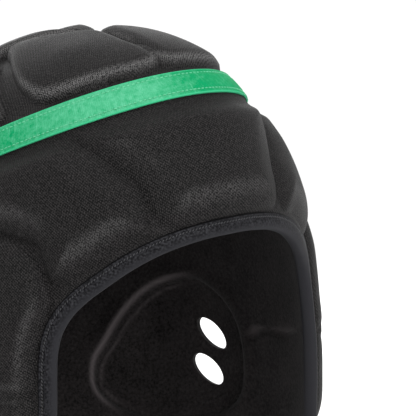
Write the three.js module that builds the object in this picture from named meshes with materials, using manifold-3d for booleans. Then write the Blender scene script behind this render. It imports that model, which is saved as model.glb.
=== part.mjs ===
// A rugby scrum cap, upright as it is worn. Millimetres, +Z up. The wearer faces -Y and +X is the wearer's left.
// The origin is the top of the hollow, where the crown of the head sits.
import * as THREE from "three";
import { mergeVertices } from "three/addons/utils/BufferGeometryUtils.js";
import Module from "manifold-3d";

// The hollow for the head
const HEAD_LENGTH = 198;
const HEAD_WIDTH = 165;
const HEAD_DEPTH = 200;
const HEAD_ROUNDNESS = 2.06;

// The shell and the pads on it
const SHELL_WALL = 3.5;
const SEAT_GAP = 0.5;
const PAD_THICKNESS = 5.5;
const PAD_EDGE_THICKNESS = 1.5;
const PAD_ROUNDING = 6.5;
const CORNER_SHARE = 0.6;
const FLOOR_RELIEF = 0.3;

// The tape round the crown and the tape folded over the edge
const BAND_WIDTH = 12;
const BAND_THICKNESS = 1.8;
const BINDING_WIDTH = 5;
const BINDING_THICKNESS = 1.1;

// The ear covers and their slots
const EAR_COVER_LAP = 4;
const EAR_COVER_THICKNESS = 1.8;
const EAR_COVER_DOME = 3.5;
const EAR_SLOT_LENGTH = 21;
const EAR_SLOT_WIDTH = 10.5;
const EAR_SLOT_TILT = 42;

// The chin strap and its fastener
const STRAP_WIDTH = 20;
const STRAP_THICKNESS = 2;
const STRAP_LAP = 9;
const STRAP_DROP = 52;
const STRAP_FORWARD = 12;
const STRAP_AZIMUTH = 76;
const FASTENER_LENGTH = 14;
const FASTENER_WALL = 2.2;
const FASTENER_CLEARANCE = 0.4;
const FASTENER_REACH = 78;

// How long a facet is along a loop, and how many steps the other curves take
const FACET = 11.6;
const BAND_FACET = 9.6;
const CURVE_STEPS = 16;
const STRAP_STEPS = 24;
const FASTENER_STEPS = 4;
const SLOT_STEPS = 14;

// Level rings from the crown down, as shares of the head's depth, half width and half length.
const RINGS = [
  { depth: 0, width: 0, front: 0, back: 0 },
  { depth: 0.015, width: 0.23, front: 0.287, back: 0.283 },
  { depth: 0.057, width: 0.45, front: 0.558, back: 0.545 },
  { depth: 0.128, width: 0.634, front: 0.792, back: 0.778 },
  { depth: 0.232, width: 0.768, front: 0.918, back: 0.929 },
  { depth: 0.348, width: 0.867, front: 0.989, back: 1.0 },
  { depth: 0.471, width: 0.936, front: 0.992, back: 1.01 },
  { depth: 0.589, width: 0.982, front: 0.948, back: 0.96 },
  { depth: 0.706, width: 1, front: 0.881, back: 0.864 },
  { depth: 0.822, width: 1, front: 0.792, back: 0.758 },
  { depth: 0.939, width: 0.976, front: 0.719, back: 0.677 },
  { depth: 1.055, width: 0.933, front: 0.644, back: 0.626 },
];

// The level that the crown band's middle line has at the front and at the back
const BAND_LEVELS = { front: 3.03, back: 4.71 };

// The shell's rows from its edge to the back of the head, as shares of the way
const SHELL_ROWS = [1, 0.97, 0.92, 0.86, 0.79, 0.71, 0.62, 0.52, 0.41, 0.29, 0.15];

// A pad's roof from its rim inwards: how far across its rounding, and how far up it
const PAD_ROOF = [
  { across: 0, up: 0 },
  { across: 0.4, up: 0.72 },
  { across: 1, up: 1 },
];

// The strap's half line below the flap: its distance from the middle plane as a share of the flap's, and its
// drop as a share of the whole drop
const STRAP_HALF = [
  { aside: 0.97, drop: 0.3 },
  { aside: 0.84, drop: 0.58 },
  { aside: 0.55, drop: 0.86 },
  { aside: 0.26, drop: 0.98 },
];

// The share of the strap over which it turns from flat on the flap to square with the middle plane
const STRAP_TURN = 0.3;

// Outlines below are rows of [azimuth in degrees from the front, level as a ring number], on the wearer's left.

// The edge of the shell, from the middle of the brow round the cheek flap to the middle of the nape
const EDGE = [
  [0, 5.64],
  [10, 5.66],
  [18, 5.72],
  [25, 5.82],
  [32, 5.98],
  [38.5, 6.19],
  [44.5, 6.42],
  [48.7, 6.66],
  [51.6, 6.96],
  [53, 7.32],
  [53.4, 7.7],
  [53.7, 8.3],
  [54.5, 9],
  [57, 9.65],
  [62, 10.08],
  [72, 10.32],
  [86, 10.38],
  [102, 10.34],
  [122, 10.25],
  [140, 10.12],
  [155, 9.92],
  [168, 9.72],
  [180, 9.65],
];

// Pads in the middle: the half outline on the wearer's left
const MIDDLE_PADS = {
  pad_forehead: [
    [0, 3.34],
    [11, 3.37],
    [22, 3.42],
    [32, 3.5],
    [42, 3.58],
    [39.5, 3.92],
    [30.5, 4.37],
    [24.8, 4.77],
    [22.5, 5.12],
    [19, 5.35],
    [0, 5.33],
  ],
  pad_rear: [
    [180, 7.22],
    [170, 7.2],
    [163, 6.98],
    [162, 6],
    [163, 5.04],
    [172, 5.03],
    [180, 5.04],
  ],
  pad_nape: [
    [180, 9.14],
    [167, 9.15],
    [162, 8.98],
    [160, 8.3],
    [161.5, 7.55],
    [168, 7.4],
    [180, 7.41],
  ],
};

// Pads in pairs
const SIDE_PADS = {
  pad_crown_front: [
    [11, 0.98],
    [5.5, 1.65],
    [3.7, 2.46],
    [28, 2.66],
    [54, 2.86],
    [62, 2.58],
    [67, 2.28],
    [73, 1.92],
    [82, 1.53],
    [102, 1.15],
    [84, 0.88],
    [60, 0.75],
    [30, 0.8],
  ],
  pad_crown_rear: [
    [15, 0.64],
    [74, 0.57],
    [103, 0.92],
    [112, 1.34],
    [117, 1.67],
    [123, 1.86],
    [140, 2.05],
    [160, 1.99],
    [174, 1.82],
    [110, 0.16],
  ],
  pad_crown_side: [
    [83, 2.2],
    [76, 2.7],
    [71.5, 3.1],
    [80, 3.26],
    [95, 3.48],
    [115, 3.76],
    [132, 3.95],
    [136, 3.6],
    [134, 2.8],
    [129, 2.3],
    [118, 1.98],
    [103, 1.64],
    [91.5, 1.76],
  ],
  pad_crown_back: [
    [175.5, 2.1],
    [177, 3.2],
    [177.5, 4.18],
    [160, 4.19],
    [146, 4.09],
    [141, 3.6],
    [139.5, 2.8],
    [147, 2.33],
    [160, 2.2],
  ],
  pad_temple: [
    [48.5, 3.68],
    [62, 3.8],
    [76, 4.0],
    [79.5, 4.4],
    [78, 4.95],
    [69, 5.07],
    [60, 5.26],
    [55, 5.47],
    [52.4, 5.98],
    [48.5, 6.02],
    [41, 5.8],
    [33, 5.57],
    [26, 5.42],
    [27.5, 4.82],
    [33.5, 4.42],
    [42.5, 3.94],
  ],
  pad_cheek_front: [
    [55.6, 6.02],
    [60.5, 5.54],
    [69, 5.3],
    [77, 5.22],
    [82, 5.42],
    [88, 6],
    [94.5, 6.6],
    [99, 7.1],
    [98, 7.7],
    [90, 7.9],
    [76, 7.92],
    [60, 7.84],
    [59, 7.35],
    [57.5, 6.9],
    [54.6, 6.4],
  ],
  pad_cheek_low: [
    [61, 8.12],
    [78, 8.16],
    [94, 8.12],
    [96.5, 8.6],
    [97.5, 9.1],
    [95, 9.6],
    [82, 9.84],
    [69, 9.64],
    [63, 9.2],
  ],
  pad_side: [
    [82.5, 4.14],
    [90, 4.22],
    [98, 4.33],
    [107, 4.46],
    [115, 4.58],
    [117.5, 5.3],
    [117, 6.2],
    [112, 6.6],
    [103, 6.78],
    [97, 6.42],
    [90, 5.8],
    [83.5, 5.2],
    [82.5, 4.6],
  ],
  pad_rear_side: [
    [121, 4.66],
    [131, 4.77],
    [140, 4.86],
    [149, 4.94],
    [157.5, 5.0],
    [159, 5.8],
    [159, 6.6],
    [157, 7.4],
    [152, 7.52],
    [142, 6.98],
    [131, 6.68],
    [121, 6.52],
    [120.5, 5.6],
  ],
};

// The opening in the shell at the ear
const EAR_OPENING = [
  [114, 6.88],
  [120, 6.88],
  [129, 7.04],
  [137, 7.36],
  [146, 7.88],
  [152.5, 8.3],
  [154.5, 8.68],
  [151.5, 9.04],
  [144, 9.36],
  [131, 9.54],
  [116, 9.5],
  [107.5, 9.15],
  [104, 8.55],
  [103, 7.95],
  [104.5, 7.55],
  [108.5, 7.15],
];

// The middles of the two slots in each ear cover
const EAR_SLOTS = [
  [115, 7.98],
  [119.5, 8.66],
];

const FABRIC = new THREE.Color(0x2d2b2b);
const LINING = new THREE.Color(0x161515);
const TAPE = new THREE.Color(0x35373b);
const GREEN = new THREE.Color(0x18b562);

const wasm = await Module();
wasm.setup();

// Shapes of the head

// The ring at a level, by a smooth curve through the table that is level at the crown
function ring(level) {
  const last = RINGS.length - 1;
  const at = Math.min(Math.floor(level), last - 1);
  const share = level - at;
  const value = (index, key) => {
    if (index < 0) return key === "depth" ? RINGS[-index][key] : -RINGS[-index][key];
    if (index > last) return 2 * RINGS[last][key] - RINGS[2 * last - index][key];
    return RINGS[index][key];
  };
  const smooth = (key) => {
    const [a, b, c, d] = [-1, 0, 1, 2].map((step) => value(at + step, key));
    const bend = (2 * a - 5 * b + 4 * c - d) * share ** 2 + (3 * b - 3 * c + d - a) * share ** 3;
    return (2 * b + (c - a) * share + bend) / 2;
  };
  return {
    depth: smooth("depth") * HEAD_DEPTH,
    width: (smooth("width") * HEAD_WIDTH) / 2,
    front: (smooth("front") * HEAD_LENGTH) / 2,
    back: (smooth("back") * HEAD_LENGTH) / 2,
  };
}

// A place on the map: the head seen from above with its levels laid out flat at equal distances
function mapPoint(azimuth, level) {
  const turn = THREE.MathUtils.degToRad(azimuth);
  return new THREE.Vector2(level * Math.sin(turn), -level * Math.cos(turn));
}

// The point of the head's surface at a place on the map
function headPoint(place) {
  const level = place.length();
  if (level === 0) return new THREE.Vector3();
  const sine = place.x / level;
  const cosine = -place.y / level;
  const { depth, width, front, back } = ring(level);
  const power = Math.abs(sine) ** HEAD_ROUNDNESS + Math.abs(cosine) ** HEAD_ROUNDNESS;
  const reach = power ** (-1 / HEAD_ROUNDNESS);
  const length = cosine > 0 ? front : back;
  return new THREE.Vector3(width * sine * reach, -length * cosine * reach, -depth);
}

// How the surface runs at a place: its change along the map's two axes, and the way out of it
function headSlopes(place) {
  const small = 0.01;
  const change = (x, y) => {
    const step = new THREE.Vector2(x, y);
    const ahead = headPoint(place.clone().add(step));
    return ahead.sub(headPoint(place.clone().sub(step))).divideScalar(2 * small);
  };
  const alongX = change(small, 0);
  const alongY = change(0, small);
  return { alongX, alongY, out: alongX.clone().cross(alongY).normalize() };
}

// A point at a height over the hollow's surface
function over(place, height) {
  return headPoint(place).addScaledVector(headSlopes(place).out, height);
}

// The step on the map that moves one millimetre over the surface in a given direction
function mapStep(place, direction) {
  const { alongX, alongY } = headSlopes(place);
  const xx = alongX.dot(alongX);
  const xy = alongX.dot(alongY);
  const yy = alongY.dot(alongY);
  const x = alongX.dot(direction);
  const y = alongY.dot(direction);
  const size = xx * yy - xy * xy;
  return new THREE.Vector2((x * yy - y * xy) / size, (y * xx - x * xy) / size);
}

// Loops on the map

// A smooth closed loop through map places, cut into facets of one real length at a height over the hollow
function smoothLoop(places, height, facet) {
  const knots = places.map((place) => new THREE.Vector3(place.x, place.y, 0));
  const curve = new THREE.CatmullRomCurve3(knots, true, "centripetal");
  const fine = curve.getPoints(places.length * CURVE_STEPS).map((p) => new THREE.Vector2(p.x, p.y));
  const points = fine.map((place) => over(place, height));
  const reached = [0];
  for (let i = 1; i < points.length; i++) {
    reached.push(reached[i - 1] + points[i].distanceTo(points[i - 1]));
  }
  const whole = reached.at(-1);
  const count = Math.round(whole / facet);
  const loop = [];
  let k = 0;
  for (let i = 0; i < count; i++) {
    const wanted = (whole * i) / count;
    while (reached[k + 1] < wanted) k++;
    const share = (wanted - reached[k]) / (reached[k + 1] - reached[k]);
    loop.push(fine[k].clone().lerp(fine[k + 1], share));
  }
  return loop;
}

// For each place of a loop, the map step of one millimetre square to it, to its inner side
function inwardSteps(loop) {
  const side = turnsLeft(loop) ? 1 : -1;
  return loop.map((place, i) => {
    const before = headPoint(loop.at(i - 1));
    const after = headPoint(loop[(i + 1) % loop.length]);
    const along = after.sub(before).normalize();
    const square = headSlopes(place).out.cross(along).normalize();
    return mapStep(place, square.multiplyScalar(side));
  });
}

function turnsLeft(loop) {
  const twice = loop.reduce((sum, place, i) => sum + place.cross(loop[(i + 1) % loop.length]), 0);
  return twice > 0;
}

// How far each place of a loop moves inwards: the distance, or less in a narrow corner, so that the loop
// doesn't cross itself
function reaches(loop, distance) {
  const steps = inwardSteps(loop);
  const points = loop.map(headPoint);
  return loop.map((place, i) => {
    const inward = headPoint(place.clone().add(steps[i])).sub(points[i]).normalize();
    const room = points.reduce((least, point) => {
      const away = point.clone().sub(points[i]);
      const ahead = away.dot(inward);
      return ahead > 0 ? Math.min(least, away.lengthSq() / (2 * ahead)) : least;
    }, Infinity);
    return Math.min(distance, CORNER_SHARE * room);
  });
}

// The loop moved inwards over the surface, or outwards when the distance is negative
function inset(loop, distance) {
  const steps = inwardSteps(loop);
  const moves = reaches(loop, distance);
  return loop.map((place, i) => place.clone().addScaledVector(steps[i], moves[i]));
}

// The loop drawn in straight towards a middle place
function shrink(loop, middle, share) {
  return loop.map((place) => middle.clone().lerp(place, share));
}

// The loop drawn in towards its own middle: straight on the crown, and along the level rings below it
function gather(loop, share) {
  const middle = middleOf(loop);
  if (middle.length() < BAND_LEVELS.front) return shrink(loop, middle, share);
  const level = loop.reduce((sum, place) => sum + place.length(), 0) / loop.length;
  return loop.map((place) => {
    const turn = Math.atan2(middle.cross(place), middle.dot(place));
    const reached = THREE.MathUtils.lerp(level, place.length(), share);
    return middle.clone().rotateAround(new THREE.Vector2(), turn * share).setLength(reached);
  });
}

function mirrored(rows) {
  return rows.map(([azimuth, level]) => [-azimuth, level]);
}

// A whole loop from the rows on one side, whose first and last rows lie in the middle
function bothSides(rows) {
  return [...rows, ...mirrored(rows.slice(1, -1)).reverse()];
}

function toMap(rows) {
  return rows.map(([azimuth, level]) => mapPoint(azimuth, level));
}

// The loops turn left on the map, seen from above, so that faces look outwards.
function leftward(rows) {
  const places = toMap(rows);
  return turnsLeft(places) ? places : places.reverse();
}

// Building solids

// A closed solid from rows of points: each row is a ring of the same count, or a single point at an end
function skinRows(rows) {
  const positions = rows.flat().flatMap((point) => point.toArray());
  const starts = [0];
  rows.forEach((row) => starts.push(starts.at(-1) + row.length));
  const faces = [];
  for (let r = 0; r + 1 < rows.length; r++) {
    const count = Math.max(rows[r].length, rows[r + 1].length);
    const at = (row, i) => starts[row] + (rows[row].length === 1 ? 0 : i % count);
    for (let i = 0; i < count; i++) {
      const corners = [at(r, i), at(r, i + 1), at(r + 1, i + 1), at(r + 1, i)];
      if (rows[r].length > 1) faces.push(corners[0], corners[1], corners[2]);
      if (rows[r + 1].length > 1) faces.push(corners[0], corners[2], corners[3]);
    }
  }
  return { positions, faces };
}

// A closed band from a section carried round a loop of rows: the first row follows the last one
function skinRing(rows) {
  const count = rows[0].length;
  const positions = rows.flat().flatMap((point) => point.toArray());
  const faces = [];
  rows.forEach((row, r) => {
    const here = r * count;
    const next = ((r + 1) % rows.length) * count;
    for (let i = 0; i < count; i++) {
      const j = (i + 1) % count;
      faces.push(here + i, next + j, next + i, here + i, here + j, next + j);
    }
  });
  return { positions, faces };
}

function toManifold({ positions, faces }) {
  const geometry = new THREE.BufferGeometry();
  geometry.setAttribute("position", new THREE.Float32BufferAttribute(positions, 3));
  geometry.setIndex(faces);
  const merged = mergeVertices(geometry, 1e-4);
  const mesh = new wasm.Mesh({
    numProp: 3,
    vertProperties: merged.attributes.position.array,
    triVerts: new Uint32Array(merged.index.array),
  });
  return new wasm.Manifold(mesh);
}

function toMesh(name, solid, colour, roughness) {
  const { numProp, vertProperties, triVerts } = solid.getMesh();
  const positions = [];
  for (let i = 0; i < vertProperties.length; i += numProp) {
    positions.push(...vertProperties.subarray(i, i + 3));
  }
  const geometry = new THREE.BufferGeometry();
  geometry.setAttribute("position", new THREE.Float32BufferAttribute(positions, 3));
  geometry.setIndex([...triVerts]);
  geometry.computeVertexNormals();
  const material = new THREE.MeshStandardMaterial({ color: colour, roughness, metalness: 0 });
  const mesh = new THREE.Mesh(geometry, material);
  mesh.name = name;
  return mesh;
}

// The middle of a loop, on the map
function middleOf(loop) {
  const sum = loop.reduce((total, place) => total.add(place), new THREE.Vector2());
  return sum.divideScalar(loop.length);
}

// A solid between a floor and a roof. Each is a list of { loop, height } from the rim to the middle, and the
// last entry's middle closes it.
function slab(floor, roof) {
  const rowOf = ({ loop, height }) => loop.map((place) => over(place, height));
  const tip = ({ loop, height }) => [over(gather(loop, 0)[0], height)];
  return closedRows(tip(floor.at(-1)), floor.map(rowOf), roof.map(rowOf), tip(roof.at(-1)));
}

function closedRows(floorTip, floorRows, roofRows, roofTip) {
  return toManifold(skinRows([floorTip, ...floorRows.reverse(), ...roofRows, roofTip]));
}

// Loops from the rim to the middle, close enough that their facets stay near the curved surface
function nested(loop, height) {
  const middle = headPoint(gather(loop, 0)[0]);
  const reach = Math.max(...loop.map((place) => headPoint(place).distanceTo(middle)));
  const count = Math.max(2, Math.round(reach / FACET));
  const loops = [];
  for (let i = count; i > 0; i--) {
    const raised = i < count ? FLOOR_RELIEF : 0;
    loops.push({ loop: gather(loop, i / count), height: height + raised });
  }
  return loops;
}

// A foam pad: thin at its rim, rounded over, and even in the middle. It thins out into its narrow corners.
function padSolid(rows) {
  const seat = SHELL_WALL + SEAT_GAP;
  const loop = smoothLoop(leftward(rows), seat, FACET);
  const steps = inwardSteps(loop);
  const moves = reaches(loop, PAD_ROUNDING);
  const rim = seat + PAD_EDGE_THICKNESS;
  const rise = PAD_THICKNESS - PAD_EDGE_THICKNESS;
  const moved = (across) => loop.map((place, i) => place.clone().addScaledVector(steps[i], across * moves[i]));
  const roof = PAD_ROOF.map(({ across, up }) =>
    moved(across).map((place, i) => over(place, rim + (up * rise * moves[i]) / PAD_ROUNDING)),
  );
  const top = gather(moved(1), 1 / 2);
  const middle = gather(top, 0)[0];
  roof.push(top.map((place) => over(place, seat + PAD_THICKNESS)));
  const floor = nested(loop, seat).map((row) => row.loop.map((place) => over(place, row.height)));
  const under = over(gather(loop, 0)[0], seat + FLOOR_RELIEF);
  return closedRows([under], floor, roof, [over(middle, seat + PAD_THICKNESS)]);
}

// The shell: rows of the same loop drawn in towards a place on the back of the head
function shellSolid(edge) {
  const heart = mapPoint(180, BAND_LEVELS.back);
  const side = (height) =>
    SHELL_ROWS.map((share) => shrink(edge, heart, share).map((place) => over(place, height)));
  const rows = [
    [over(heart, 0)],
    ...side(0).reverse(),
    ...side(SHELL_WALL),
    [over(heart, SHELL_WALL)],
  ];
  return toManifold(skinRows(rows));
}

// A strip carried round a loop. Its section is a list of [distance inwards, height over the hollow].
function tape(loop, section) {
  const steps = inwardSteps(loop);
  const rows = loop.map((place, i) =>
    section.map(([inward, height]) => over(place.clone().addScaledVector(steps[i], inward), height)),
  );
  return toManifold(skinRing(rows));
}

function bindingSolid(edge) {
  const near = SEAT_GAP;
  const far = SEAT_GAP + BINDING_THICKNESS;
  const bevel = BINDING_THICKNESS;
  const section = [
    [BINDING_WIDTH, SHELL_WALL + near],
    [BINDING_WIDTH, SHELL_WALL + far],
    [bevel - far, SHELL_WALL + far],
    [-far, SHELL_WALL + far - bevel],
    [-far, bevel - far],
    [bevel - far, -far],
    [BINDING_WIDTH, -far],
    [BINDING_WIDTH, -near],
    [-near, -near],
    [-near, SHELL_WALL + near],
  ];
  return tape(edge, section);
}

function bandLevel(azimuth) {
  const turn = THREE.MathUtils.degToRad(azimuth);
  return THREE.MathUtils.lerp(BAND_LEVELS.front, BAND_LEVELS.back, (1 - Math.cos(turn)) / 2);
}

function bandSolid() {
  const rows = [];
  for (let azimuth = 0; azimuth < 360; azimuth += 15) rows.push([azimuth, bandLevel(azimuth)]);
  const seat = SHELL_WALL + SEAT_GAP;
  const loop = smoothLoop(leftward(rows), seat, BAND_FACET);
  const half = BAND_WIDTH / 2;
  const section = [
    [half, seat],
    [half, seat + BAND_THICKNESS],
    [-half, seat + BAND_THICKNESS],
    [-half, seat],
  ];
  return tape(loop, section);
}

// The ear opening's loop, on the side whose sign is given
function earLoop(side) {
  const rows = side > 0 ? EAR_OPENING : mirrored(EAR_OPENING);
  return smoothLoop(leftward(rows), SHELL_WALL, FACET);
}

function earCutter(side) {
  const loop = earLoop(side);
  return slab(nested(loop, -SHELL_WALL), nested(loop, 2 * SHELL_WALL));
}

// A slot's loop: an oval that leans forwards as it goes down
function slotLoop(azimuth, level) {
  const middle = mapPoint(azimuth, level);
  const { alongX, alongY, out } = headSlopes(middle);
  const down = new THREE.Vector3(0, 0, -1);
  down.addScaledVector(out, -down.dot(out)).normalize();
  const forward = down.clone().cross(out);
  if (forward.y > 0) forward.negate();
  const lean = THREE.MathUtils.degToRad(EAR_SLOT_TILT);
  const long = down.clone().multiplyScalar(Math.cos(lean)).addScaledVector(forward, Math.sin(lean));
  const wide = long.clone().cross(out);
  const places = [];
  for (let i = 0; i < SLOT_STEPS; i++) {
    const turn = (2 * Math.PI * i) / SLOT_STEPS;
    const reach = long.clone().multiplyScalar((EAR_SLOT_LENGTH / 2) * Math.cos(turn));
    reach.addScaledVector(wide, (EAR_SLOT_WIDTH / 2) * Math.sin(turn));
    places.push(middle.clone().add(mapStep(middle, reach)));
  }
  return turnsLeft(places) ? places : places.reverse();
}

// An ear cover: its rim laps the shell, and its middle stands out in a low dome
function earCoverSolid(side) {
  const seat = SHELL_WALL + SEAT_GAP;
  const rim = inset(earLoop(side), -EAR_COVER_LAP);
  const lap = 2 * EAR_COVER_LAP;
  const layer = (height) => {
    const inner = inset(rim, lap);
    const middle = middleOf(inner);
    const domed = [1, 1 / 2].map((share) => ({
      loop: shrink(inner, middle, share),
      height: height + EAR_COVER_DOME * (1 - share ** 2 / 2),
    }));
    return [{ loop: rim, height }, ...domed];
  };
  let solid = slab(layer(seat), layer(seat + EAR_COVER_THICKNESS));
  const top = seat + EAR_COVER_THICKNESS + EAR_COVER_DOME;
  for (const [azimuth, level] of EAR_SLOTS) {
    const loop = slotLoop(side * azimuth, level);
    solid = solid.subtract(slab([{ loop, height: 0 }], [{ loop, height: 2 * top }]));
  }
  return solid;
}

// Where the strap leaves the flap's edge, on the map
function strapFoot() {
  const level = EDGE.find(([azimuth]) => azimuth >= STRAP_AZIMUTH)[1];
  return mapPoint(STRAP_AZIMUTH, level);
}

// The chin strap's middle line, from the wearer's right flap under the chin to the left flap
function strapLine() {
  const lift = SHELL_WALL + 2 * SEAT_GAP + BINDING_THICKNESS + STRAP_THICKNESS / 2;
  const foot = strapFoot();
  const up = mapStep(foot, new THREE.Vector3(0, 0, 1));
  const end = over(foot.clone().addScaledVector(up, STRAP_LAP), lift);
  const lip = over(foot.clone().addScaledVector(up, -BINDING_THICKNESS), lift);
  const hung = (aside, drop) =>
    new THREE.Vector3(lip.x * aside, lip.y - STRAP_FORWARD * drop, lip.z - STRAP_DROP * drop);
  const half = [end, lip, ...STRAP_HALF.map(({ aside, drop }) => hung(aside, drop))];
  const low = hung(0, 1);
  const flip = (p) => new THREE.Vector3(-p.x, p.y, p.z);
  return new THREE.CatmullRomCurve3([...half.map(flip), low, ...half.reverse()], false, "centripetal");
}

// The strap's section at a share of its line: the middle, the way across it and the way out of it.
// It lies flat on the flap at its ends and turns square to the middle plane below the jaw.
function strapFrame(line, share) {
  const middle = line.getPointAt(share);
  const along = line.getTangentAt(share);
  const flat = new THREE.Vector3(0, 0, 1).cross(headSlopes(strapFoot()).out).normalize();
  if (share < 1 / 2) flat.x = -flat.x;
  const turned = THREE.MathUtils.smoothstep(Math.min(share, 1 - share), 0, STRAP_TURN);
  const across = flat.lerp(new THREE.Vector3(0, 1, 0), turned);
  across.addScaledVector(along, -along.dot(across)).normalize();
  return { middle, along, across, out: across.clone().cross(along) };
}

function strapBlock(line, from, to, steps, width, thickness) {
  const rows = [];
  for (let i = 0; i <= steps; i++) {
    const { middle, across, out } = strapFrame(line, from + ((to - from) * i) / steps);
    const corner = (a, o) =>
      middle.clone().addScaledVector(across, (a * width) / 2).addScaledVector(out, (o * thickness) / 2);
    rows.push([corner(1, 1), corner(1, -1), corner(-1, -1), corner(-1, 1)]);
  }
  const tip = (row) => [row[0].clone().lerp(row[2], 1 / 2)];
  return toManifold(skinRows([tip(rows[0]), ...rows, tip(rows.at(-1))]));
}

function strapSolid(line) {
  return strapBlock(line, 0, 1, STRAP_STEPS, STRAP_WIDTH, STRAP_THICKNESS);
}

// The fastener: a plain sleeve that the strap passes through
function fastenerSolid(line) {
  const whole = line.getLength();
  const half = FASTENER_LENGTH / 2 / whole;
  const middle = 1 - FASTENER_REACH / whole;
  const from = middle - half;
  const to = middle + half;
  const slack = 2 * FASTENER_CLEARANCE;
  const wall = 2 * FASTENER_WALL;
  const width = STRAP_WIDTH + slack;
  const thickness = STRAP_THICKNESS + slack;
  const body = strapBlock(line, from, to, FASTENER_STEPS, width + wall, thickness + wall);
  return body.subtract(strapBlock(line, from - half, to + half, 2 * FASTENER_STEPS, width, thickness));
}

// The assembly

const cap = new THREE.Group();
const edge = smoothLoop(leftward(bothSides(EDGE)), 0, FACET);
const shell = shellSolid(edge).subtract(earCutter(1)).subtract(earCutter(-1));
cap.add(toMesh("cap_shell", shell, LINING, 0.95));
cap.add(toMesh("edge_binding", bindingSolid(edge), TAPE, 0.7));
cap.add(toMesh("crown_band", bandSolid(), GREEN, 0.6));

for (const [name, rows] of Object.entries(MIDDLE_PADS)) {
  cap.add(toMesh(name, padSolid(bothSides(rows)), FABRIC, 0.85));
}
for (const [name, rows] of Object.entries(SIDE_PADS)) {
  cap.add(toMesh(`${name}_left`, padSolid(rows), FABRIC, 0.85));
  cap.add(toMesh(`${name}_right`, padSolid(mirrored(rows)), FABRIC, 0.85));
}

cap.add(toMesh("ear_cover_left", earCoverSolid(1), LINING, 0.9));
cap.add(toMesh("ear_cover_right", earCoverSolid(-1), LINING, 0.9));

const strap = strapLine();
cap.add(toMesh("chin_strap", strapSolid(strap), TAPE, 0.8));
cap.add(toMesh("strap_fastener", fastenerSolid(strap), TAPE, 0.5));

export default cap;
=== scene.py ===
import math

import bpy
import numpy as np
from mathutils import Matrix, Vector, noise


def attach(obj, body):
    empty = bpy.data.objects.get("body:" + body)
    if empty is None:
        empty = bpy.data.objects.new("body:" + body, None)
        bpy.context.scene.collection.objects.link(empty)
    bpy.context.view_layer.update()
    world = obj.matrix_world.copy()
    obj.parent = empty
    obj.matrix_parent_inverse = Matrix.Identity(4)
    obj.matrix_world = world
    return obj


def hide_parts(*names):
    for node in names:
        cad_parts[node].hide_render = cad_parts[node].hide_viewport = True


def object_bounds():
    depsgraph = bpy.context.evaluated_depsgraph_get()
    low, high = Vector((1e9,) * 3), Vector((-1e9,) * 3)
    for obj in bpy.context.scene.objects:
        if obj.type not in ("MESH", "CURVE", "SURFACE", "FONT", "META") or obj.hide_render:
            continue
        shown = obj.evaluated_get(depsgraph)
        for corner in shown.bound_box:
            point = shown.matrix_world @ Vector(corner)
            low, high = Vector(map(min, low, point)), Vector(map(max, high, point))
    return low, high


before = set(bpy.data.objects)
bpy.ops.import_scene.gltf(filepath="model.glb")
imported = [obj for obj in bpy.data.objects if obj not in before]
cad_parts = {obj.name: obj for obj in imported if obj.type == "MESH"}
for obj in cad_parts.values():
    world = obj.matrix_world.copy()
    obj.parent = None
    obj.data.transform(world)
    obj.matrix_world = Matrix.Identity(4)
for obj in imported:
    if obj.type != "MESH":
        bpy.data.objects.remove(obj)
cad_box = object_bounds()

# ---- Studio
# A pale floor under the cap, a white room round it, and soft boxes in front of it and beside it.
# The camera looks from the wearer's right front, a little above the brow, with the cap pitched back.

CAMERA_TARGET = Vector((0.0, 0.0, -0.07))
CAMERA_DISTANCE = 1.5
CAMERA_AZIMUTH = math.radians(-33.249)
CAMERA_ELEVATION = math.radians(2.616)
CAMERA_ROLL = math.radians(-9.194)
PIXELS_PER_METRE = 2268.0
FRAME_PIXELS = 416
TARGET_PIXEL = (90.351, 205.864)

back = Vector((
    math.sin(CAMERA_AZIMUTH) * math.cos(CAMERA_ELEVATION),
    -math.cos(CAMERA_AZIMUTH) * math.cos(CAMERA_ELEVATION),
    math.sin(CAMERA_ELEVATION),
))
level_right = Vector((math.cos(CAMERA_AZIMUTH), math.sin(CAMERA_AZIMUTH), 0.0))
level_up = back.cross(level_right)
right = level_right * math.cos(CAMERA_ROLL) + level_up * math.sin(CAMERA_ROLL)
up = level_up * math.cos(CAMERA_ROLL) - level_right * math.sin(CAMERA_ROLL)
aside = (FRAME_PIXELS / 2 - TARGET_PIXEL[0]) / PIXELS_PER_METRE
below = (FRAME_PIXELS / 2 - TARGET_PIXEL[1]) / PIXELS_PER_METRE
backward = (back * CAMERA_DISTANCE - right * aside + up * below).normalized()
sideways = up.cross(backward).normalized()
camera_data = bpy.data.cameras.new("photo_camera")
camera = bpy.data.objects.new("photo_camera", camera_data)
bpy.context.scene.collection.objects.link(camera)
camera_data.lens = 36.0 * PIXELS_PER_METRE * CAMERA_DISTANCE / FRAME_PIXELS
camera_data.clip_start = 0.05
camera_data.clip_end = 50.0
upright = backward.cross(sideways)
turn = Matrix((sideways, upright, backward)).transposed().to_4x4()
camera.matrix_world = Matrix.Translation(CAMERA_TARGET + back * CAMERA_DISTANCE) @ turn
bpy.context.scene.camera = camera
bpy.context.scene.view_settings.view_transform = "Standard"
bpy.context.scene.view_settings.look = "None"


def linear(hex_colour):
    """An sRGB hex colour as linear RGBA."""
    parts = [int(hex_colour[i : i + 2], 16) / 255 for i in (1, 3, 5)]
    return (*[c / 12.92 if c <= 0.04045 else ((c + 0.055) / 1.055) ** 2.4 for c in parts], 1.0)


def add_node(tree, kind, settings=None, links=None, **values):
    """A node with its settings, its own socket values by name, and its inputs linked by name."""
    node = tree.nodes.new(kind)
    for key, value in (settings or {}).items():
        setattr(node, key, value)
    for key, value in values.items():
        node.inputs[key.replace("_", " ")].default_value = value
    for key, source in (links or {}).items():
        tree.links.new(source, node.inputs[key])
    return node


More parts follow.
